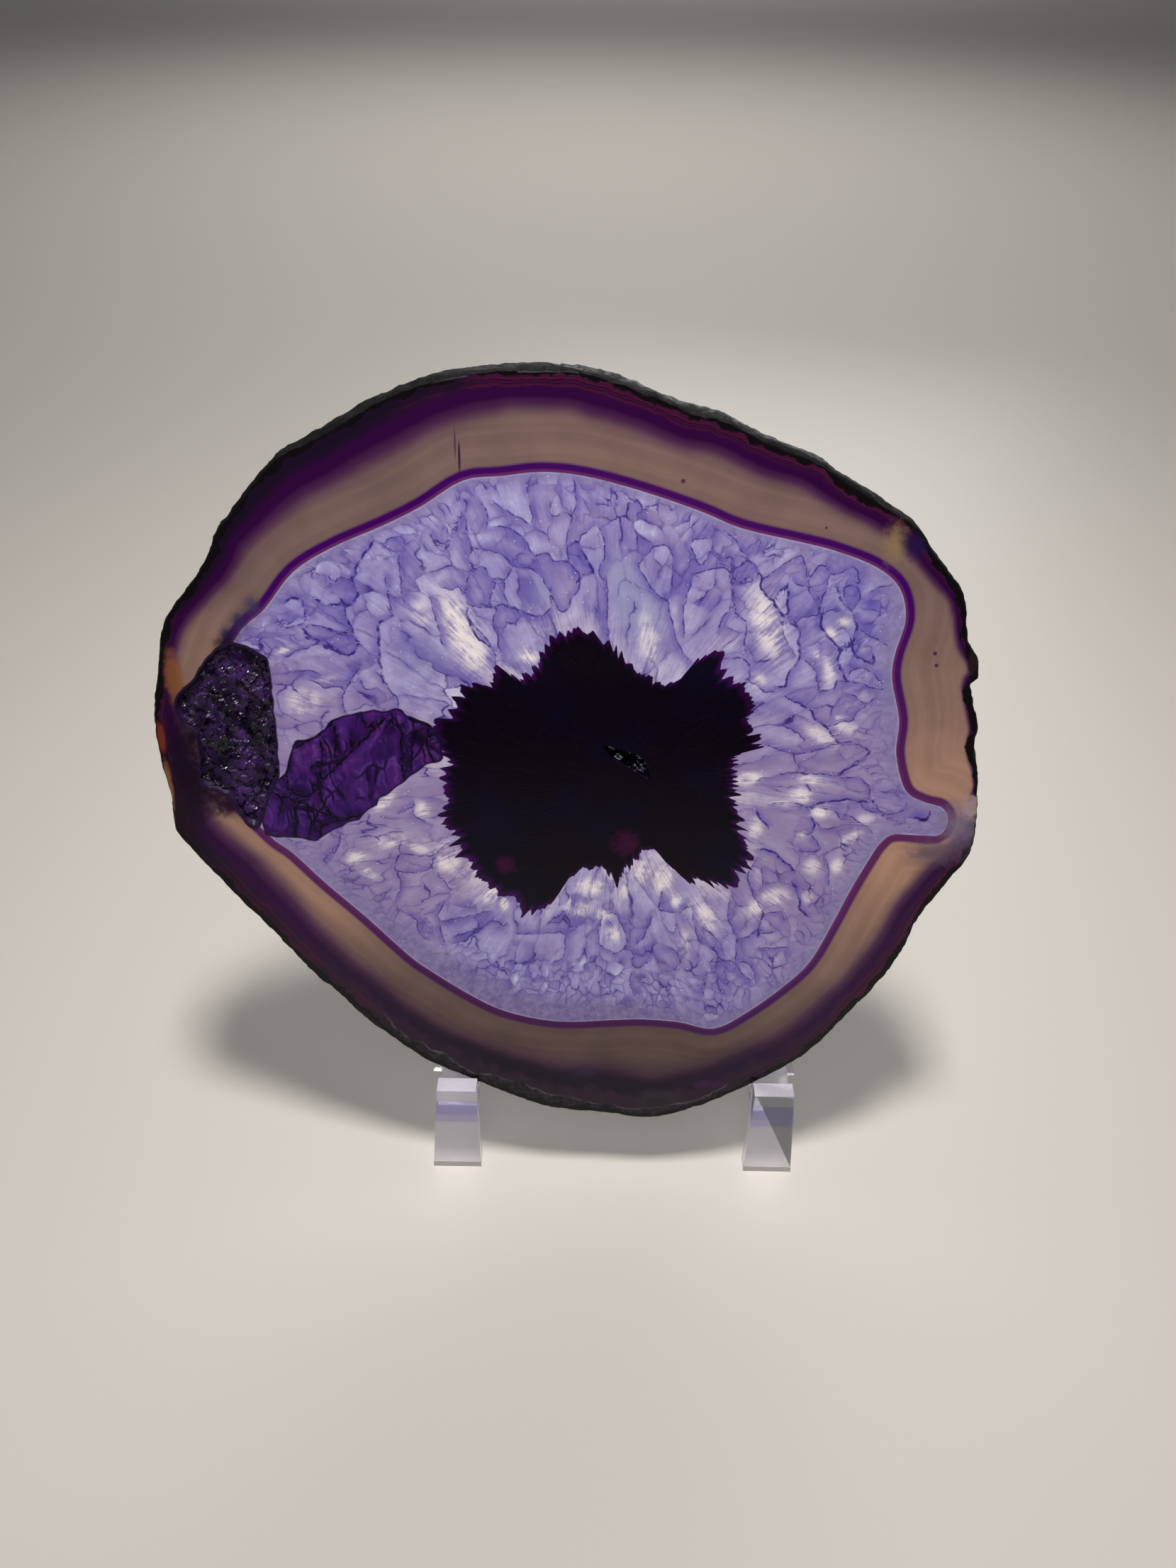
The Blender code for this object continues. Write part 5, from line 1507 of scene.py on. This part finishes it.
in_pocket = wires.fade(wires.attribute("pocket_mm"), -0.1, 0.16, 1.0, 0.0)
depth_value = wires.attribute("depth_mm")
in_pocket = wires.times(in_pocket, wires.fade(depth_value, 3.0, 5.0, 1.0, 0.0))
colour = wires.blend(in_pocket, colour, POCKET_WALL)
deep = wires.times(wires.fade(depth_value, 0.1, 0.4), wires.fade(depth_value, 5.6, 5.9, 1.0, 0.0))
wires.put(shader.inputs["Base Color"], colour)
wires.put(shader.inputs["Roughness"], wires.times_plus(deep, 0.35, 0.1))
shader.inputs["IOR"].default_value = QUARTZ_IOR
shader.inputs["Specular IOR Level"].default_value = 0.22
bump = wires.add("ShaderNodeBump")
bump.inputs["Strength"].default_value = 0.2
bump.inputs["Distance"].default_value = 0.0001
cracks = wires.larger(wires.times(wedges["Crack"], 0.5),
                      wires.times(cleaved["Crack"], in_cleaved))
wires.put(bump.inputs["Height"], wires.minus(1.0, cracks))
wires.put(shader.inputs["Normal"], bump.outputs[0])
print("made the material polished_agate")

# %% [markdown]
# The rim is the skin of the nodule as it came out of the ground. It is almost black, with grey
# patches where the rock clings to it, and rough at every scale, so its bump has two sizes.

# %% The rough skin
skin, wires, shader = new_material("rough_skin")
spot = wires.add("ShaderNodeTexCoord").outputs["Object"]
patch = wires.noise(spot, 170.0, 5.0, 0.6)
grit = wires.noise(spot, 1400.0, 4.0, 0.65)
rock = wires.ramp(
    wires.times_plus(wires.minus(grit, 0.5), 0.35, patch),
    ((0.36, screen(4, 3, 3)), (0.5, screen(9, 7, 8)), (0.6, screen(13, 9, 11)),
     (0.68, screen(24, 21, 22)), (0.8, screen(74, 70, 70))),
)
wires.put(shader.inputs["Base Color"], rock)
wires.put(shader.inputs["Roughness"], wires.fade(grit, 0.3, 0.7, 0.55, 0.85))
shader.inputs["Specular IOR Level"].default_value = 0.12
bump = wires.add("ShaderNodeBump")
bump.inputs["Strength"].default_value = 0.8
bump.inputs["Distance"].default_value = 0.0005
roughness = wires.math("ADD", wires.times(patch, 0.7), wires.times(grit, 0.4))
wires.put(bump.inputs["Height"], roughness)
wires.put(shader.inputs["Normal"], bump.outputs[0])
print("made the material rough_skin")

# %% [markdown]
# Faces that lie between the two flats belong to the skin, and the rest is polished. The depth of
# a face's middle and its zone tell which is which.

# %% Give the slab its two materials
FLAT_MARGIN = 0.02
RIM_ZONE = 2.9
cut_mesh.materials.clear()
cut_mesh.materials.append(polished)
cut_mesh.materials.append(skin)
middles = np.empty(len(cut_mesh.polygons) * 3)
cut_mesh.polygons.foreach_get("center", middles)
_, _, face_depth = plane_coordinates(middles.reshape(-1, 3))
corner_zone = corner_values(cut_mesh, zone)
face_zone = np.add.reduceat(corner_zone, starts) / sizes
between_flats = (face_depth > FLAT_MARGIN) & (face_depth < THICKNESS - FLAT_MARGIN)
on_rim = between_flats & (face_zone > RIM_ZONE)
cut_mesh.polygons.foreach_set("material_index", on_rim.astype(int))
cut_mesh.shade_smooth()
cut_mesh.set_sharp_from_angle(angle=math.radians(40.0))
slab.name = "agate_stone"
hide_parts("agate_slice")
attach(slab, "root")
print("rim faces:", int(on_rim.sum()))

# %% [markdown]
# The pocket is lined with broken crystal: flat facets, each tilted its own way. One grid covers
# the pocket, and the height at a place comes from the tilt of the facet it belongs to, at two
# sizes of facet. The grid runs a little under the stone all round, which hides its edge.

# %% Fill the pocket with broken crystal
POCKET_STEP = 0.26
POCKET_MARGIN = 0.5
BROAD_FACET = 3.2
FINE_FACET = 1.3
SHALLOWEST = 0.45
DEEPEST = 1.9
ROCK_SHEET = 0.25
face_turn = Matrix.Rotation(-LEAN, 4, "X")


def facets(right, up, size, seed):
    """Return the height of flat, differently tilted facets of a given size, about -1 to 1."""
    spot = Vector((right / size, up / size, seed))
    _, nearest = noise.voronoi(spot)
    lean = noise.noise_vector(nearest[0] * 7.3)
    offset = spot - nearest[0]
    return 0.9 * noise.noise(nearest[0] * 4.1) + 1.6 * (lean.x * offset.x + lean.y * offset.y)


pocket_low = pocket_loop.min(axis=0) - POCKET_MARGIN
pocket_high = pocket_loop.max(axis=0) + POCKET_MARGIN
pocket_span = pocket_high - pocket_low
grid_columns, grid_rows = (int(span / POCKET_STEP) for span in pocket_span)
rock = bmesh.new()
bmesh.ops.create_grid(rock, x_segments=grid_columns, y_segments=grid_rows, size=0.5)
for vert in rock.verts:
    flat_right = pocket_low[0] + (vert.co.x + 0.5) * pocket_span[0]
    flat_up = pocket_low[1] + (vert.co.y + 0.5) * pocket_span[1]
    broad = facets(flat_right, flat_up, BROAD_FACET, 2.0)
    fine = facets(flat_right, flat_up, FINE_FACET, 9.0)
    depth = 1.0 - 0.7 * broad - 0.5 * fine
    vert.co = (flat_right, flat_up, max(SHALLOWEST, min(DEEPEST, depth)))
loose = []
for face in rock.faces:
    middle = face.calc_center_median()
    spot = np.array([[middle.x, middle.y]])
    if not inside(spot, pocket_loop)[0] and edge_distance(spot, pocket_loop)[0] > POCKET_MARGIN:
        loose.append(face)
bmesh.ops.delete(rock, geom=loose, context="FACES")
for vert in rock.verts:
    vert.co = plane_point(*vert.co)
bmesh.ops.recalc_face_normals(rock, faces=rock.faces)
bmesh.ops.solidify(rock, geom=rock.faces, thickness=ROCK_SHEET * MM)
rock_mesh = finish_mesh("pocket_facets", rock)
rubble = put_in_scene("pocket_facets", rock_mesh)
print("pocket faces:", len(rock_mesh.polygons))

# %% [markdown]
# The facets are near-black, with violet where they are clear. In crusted places they carry painted
# shade, tiny black pits, and painted highlights, tiny gold and bluish-white glints that follow their
# edges.

# %% The material of the pocket
GLINT_BLUE = screen(120, 116, 170)
GLINT_GOLD = screen(150, 128, 88)
PIT_SHADE = screen(6, 4, 8)
rubble_look, wires, shader = new_material("pocket_rock")
spot = wires.add("ShaderNodeTexCoord").outputs["Object"]
lump = wires.noise(spot, 230.0, 4.0, 0.6)
tint = wires.ramp(lump, ((0.34, screen(10, 6, 16)), (0.44, screen(26, 14, 40)),
                         (0.54, screen(42, 23, 60)), (0.68, screen(60, 34, 84))))
crumbs = wires.noise(spot, 1500.0, 3.0, 0.7, 1.5)
crusted = wires.fade(wires.noise(spot, 240.0, 2.0), 0.54, 0.62)
# Painted shade: tiny black pits in the crusted places.
pit_shade = wires.times(crusted, wires.fade(crumbs, 0.46, 0.5, 0.9, 0.0))
tint = wires.blend(pit_shade, tint, PIT_SHADE)
# Painted highlights: tiny gold and bluish-white glints in the crusted places.
glints = wires.times(crusted, wires.fade(crumbs, 0.63, 0.66))
golden_here = wires.fade(wires.noise(spot, 120.0), 0.45, 0.55)
glint_tint = wires.blend(golden_here, GLINT_BLUE, GLINT_GOLD)
tint = wires.blend(glints, tint, glint_tint)
wires.put(shader.inputs["Base Color"], tint)
shader.inputs["Roughness"].default_value = 0.25
shader.inputs["Specular IOR Level"].default_value = 0.35
bump = wires.add("ShaderNodeBump")
bump.inputs["Strength"].default_value = 0.5
bump.inputs["Distance"].default_value = 0.0003
wires.put(bump.inputs["Height"], wires.times(crumbs, crusted))
wires.put(shader.inputs["Normal"], bump.outputs[0])
rubble.data.materials.append(rubble_look)
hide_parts("pocket_crystals")
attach(rubble, "root")
print("made the material pocket_rock")

# %% [markdown]
# Tiny clear quartz points line the slit and lean in from its walls. One point is a six-sided
# cone, and a hundred or so of them, with random sizes, read as a sparkling lining.

# %% Line the slit with crystal points
POINT_COUNT = 130
POINT_GIRTH = 0.3
dice = random.Random(7)
points = bmesh.new()
slit_middle = slit_loop.mean(axis=0)
for _ in range(POINT_COUNT):
    wall = slit_loop[dice.randrange(len(slit_loop))]
    sink = dice.uniform(0.0, 1.0)
    flat = wall + (slit_middle - wall) * (0.04 + 0.75 * sink * dice.random())
    inward = Vector((*(slit_middle - wall), 0.0)).normalized()
    aim = Vector((inward.x, -0.35 - dice.random(), inward.y))
    aim += Vector([dice.uniform(-0.4, 0.4) for _ in range(3)])
    length = dice.uniform(0.35, 0.85)
    made = bmesh.ops.create_cone(points, cap_ends=True, cap_tris=False, segments=6,
                                 radius1=POINT_GIRTH * length * MM, radius2=0.0, depth=length * MM)
    turn_to = aim.to_track_quat("Z", "Y").to_matrix().to_4x4()
    place = Matrix.Translation(plane_point(flat[0], flat[1], 0.75 + 2.2 * sink))
    bmesh.ops.transform(points, matrix=place @ face_turn @ turn_to, verts=made["verts"])
point_mesh = finish_mesh("slit_points", points)
lining = put_in_scene("slit_points", point_mesh)

quartz_look, wires, shader = new_material("clear_quartz")
spot = wires.add("ShaderNodeTexCoord").outputs["Object"]
pale = wires.cells(spot, 1100.0).outputs["Color"]
point_tint = wires.ramp(wires.channel(pale, 0), (
    (0.0, screen(70, 52, 120)), (0.4, screen(140, 130, 190)), (0.75, screen(236, 236, 250))))
wires.put(shader.inputs["Base Color"], point_tint)
wires.put(shader.inputs["Roughness"], wires.fade(wires.channel(pale, 1), 0.0, 1.0, 0.05, 0.3))
shader.inputs["IOR"].default_value = QUARTZ_IOR
shader.inputs["Coat Weight"].default_value = 1.0
lining.data.materials.append(quartz_look)
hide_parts("slit_crystals")
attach(lining, "root")
print("slit points:", POINT_COUNT)

# %% [markdown]
# The easel is one piece of clear acrylic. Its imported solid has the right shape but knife-sharp
# edges, and clear plastic shows itself by its edges, so a copy of it is merged, its flat faces
# are joined up again, and a small bevel rounds the corners.

# %% Round the easel's edges
EDGE_ROUND = 0.35
SHARP_ANGLE = math.radians(25.0)
bm = bmesh.new()
bm.from_mesh(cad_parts["easel"].data)
bmesh.ops.remove_doubles(bm, verts=bm.verts, dist=1e-6)
bmesh.ops.dissolve_limit(bm, angle_limit=math.radians(1.0), verts=bm.verts, edges=bm.edges)
bmesh.ops.recalc_face_normals(bm, faces=bm.faces)
sharp = [edge for edge in bm.edges if edge.is_manifold and edge.calc_face_angle() > SHARP_ANGLE]
bmesh.ops.bevel(bm, geom=sharp, offset=EDGE_ROUND * MM, offset_type="OFFSET", segments=3,
                profile=0.5, affect="EDGES", clamp_overlap=True, material=-1)
easel_mesh = finish_mesh("clear_easel", bm)
easel_mesh.shade_smooth()
easel_mesh.set_sharp_from_angle(angle=math.radians(35.0))
easel = put_in_scene("clear_easel", easel_mesh)
print("easel faces:", len(easel_mesh.polygons))

# %% [markdown]
# Clear acrylic is plain glass with a lower index, here a little milky with age. The front posts carry a
# faint lavender band: a painted reflection of the stone above them. The tops of the lips were sawn and
# never polished, so those faces take a frosted material of their own.

# %% Clear acrylic with frosted tops
LIP_TOP = 24.0
REFLECTION_BAND = (14.5, 21.0)
POST_DEPTH = 3.3
ACRYLIC_IOR = 1.49
CLEAR = screen(222, 219, 226)
LAVENDER_REFLECTION = screen(178, 168, 222)
FROST_LOW = screen(180, 172, 190)
FROST_HIGH = screen(216, 211, 216)
acrylic, wires, shader = new_material("clear_acrylic")
spot = wires.add("ShaderNodeTexCoord").outputs["Object"]
height = wires.add("ShaderNodeSeparateXYZ")
wires.put(height.inputs[0], spot)
reflection_low, reflection_high = REFLECTION_BAND[0] * MM, REFLECTION_BAND[1] * MM
# Painted reflection: a faint lavender band of the stone on the front posts.
reflection_share = wires.times(wires.fade(height.outputs[2], reflection_low, reflection_low + 0.4 * MM),
                         wires.fade(height.outputs[2], reflection_high - 0.4 * MM, reflection_high, 0.8, 0.0))
post_back = (FRONT_Y + POST_DEPTH) * MM
in_post = wires.fade(height.outputs[1], post_back, post_back + 0.5 * MM, 1.0, 0.0)
reflection_share = wires.times(reflection_share, in_post)
wires.put(shader.inputs["Base Color"], wires.blend(reflection_share, CLEAR, LAVENDER_REFLECTION))
shader.inputs["Transmission Weight"].default_value = 0.7
shader.inputs["IOR"].default_value = ACRYLIC_IOR
scratches = wires.fade(wires.noise(wires.stretch(spot, 900.0, 120.0), 1.0, 3.0), 0.62, 0.75, 0.0, 0.12)
wires.put(shader.inputs["Roughness"], wires.math("ADD", scratches, 0.08))

frosted, wires, shader = new_material("frosted_acrylic")
spot = wires.add("ShaderNodeTexCoord").outputs["Object"]
saw_marks = wires.noise(spot, 1500.0, 4.0, 0.7)
wires.put(shader.inputs["Base Color"], wires.blend(saw_marks, FROST_LOW, FROST_HIGH))
shader.inputs["Transmission Weight"].default_value = 0.5
shader.inputs["Roughness"].default_value = 0.5
shader.inputs["IOR"].default_value = ACRYLIC_IOR
bump = wires.add("ShaderNodeBump")
bump.inputs["Strength"].default_value = 0.6
bump.inputs["Distance"].default_value = 0.0003
wires.put(bump.inputs["Height"], saw_marks)
wires.put(shader.inputs["Normal"], bump.outputs[0])

easel.data.materials.append(acrylic)
easel.data.materials.append(frosted)
sawn = 0
for polygon in easel.data.polygons:
    if abs(polygon.center.z / MM - LIP_TOP) < 0.4 and polygon.normal.z > 0.5:
        polygon.material_index = 1
        sawn += 1
easel.visible_shadow = False
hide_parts("easel")
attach(easel, "root")
print("made the materials of the easel; frosted faces:", sawn)

# %% [markdown]
# The set is plain: a pale matt floor that runs on past the picture, one soft light nearly
# overhead, which gives the pool of shadow under the stone, and weak light from in front. A
# ring of lamps far out lights only the distant floor, and the sky behind it is lit for the eye
# alone, so that neither changes the light on the stone.

# %% The floor and the lights
FLOOR_REACH = 5.0
bm = bmesh.new()
bmesh.ops.create_grid(bm, x_segments=1, y_segments=1, size=FLOOR_REACH)
floor = put_in_scene("floor", finish_mesh("floor", bm))
floor_look, wires, shader = new_material("pale_floor")
shader.inputs["Base Color"].default_value = screen(166, 160, 153)
shader.inputs["Roughness"].default_value = 0.6
floor.data.materials.append(floor_look)


def area_light(name, place, target, size, watts, spread):
    """Add a square soft light at a place, aimed at a target, with its spread in degrees."""
    lamp = bpy.data.lights.new(name, "AREA")
    lamp.size = size
    lamp.energy = watts
    lamp.spread = math.radians(spread)
    made = put_in_scene(name, lamp)
    made.location = place
    made.rotation_euler = (Vector(target) - Vector(place)).to_track_quat("-Z", "Y").to_euler()
    return made


RING_COUNT = 6
RING_RADIUS = 3100.0
RING_HEIGHT = 1600.0
area_light("overhead", stand_point(0.0, -35.0, 620.0), stand_point(0.0, 20.0, 60.0),
           size=0.09, watts=4.5, spread=180.0)
area_light("front", stand_point(-40.0, -330.0, 560.0), stand_point(0.0, 10.0, 80.0),
           size=0.3, watts=0.1, spread=50.0)
area_light("back_wash", stand_point(0.0, 1100.0, 900.0), stand_point(0.0, 1000.0, 0.0),
           size=0.9, watts=6.0, spread=120.0)
for i in range(RING_COUNT):
    bearing = math.pi / 2.0 + 2.0 * math.pi * i / RING_COUNT
    x, y = RING_RADIUS * math.cos(bearing), RING_RADIUS * math.sin(bearing)
    area_light(f"far_wash_{i}", stand_point(x, y, RING_HEIGHT), stand_point(x, y, 0.0),
               size=1.5, watts=9.0, spread=110.0)
rear = area_light("rear", stand_point(120.0, 620.0, 260.0), stand_point(0.0, 20.0, 75.0),
                  size=0.3, watts=0.3, spread=60.0)
rear.visible_camera = False
SKY_LIGHT = 0.04
SKY_SEEN = 0.4
world = bpy.data.worlds.new("soft_room")
world.use_nodes = True
sky = world.node_tree.nodes["Background"]
sky.inputs["Color"].default_value = (0.80, 0.83, 0.86, 1.0)
wires = Wires(world.node_tree)
seen = wires.add("ShaderNodeLightPath").outputs["Is Camera Ray"]
wires.put(sky.inputs["Strength"], wires.times_plus(seen, SKY_SEEN, SKY_LIGHT))
bpy.context.scene.world = world
bpy.context.scene.view_settings.view_transform = "Standard"
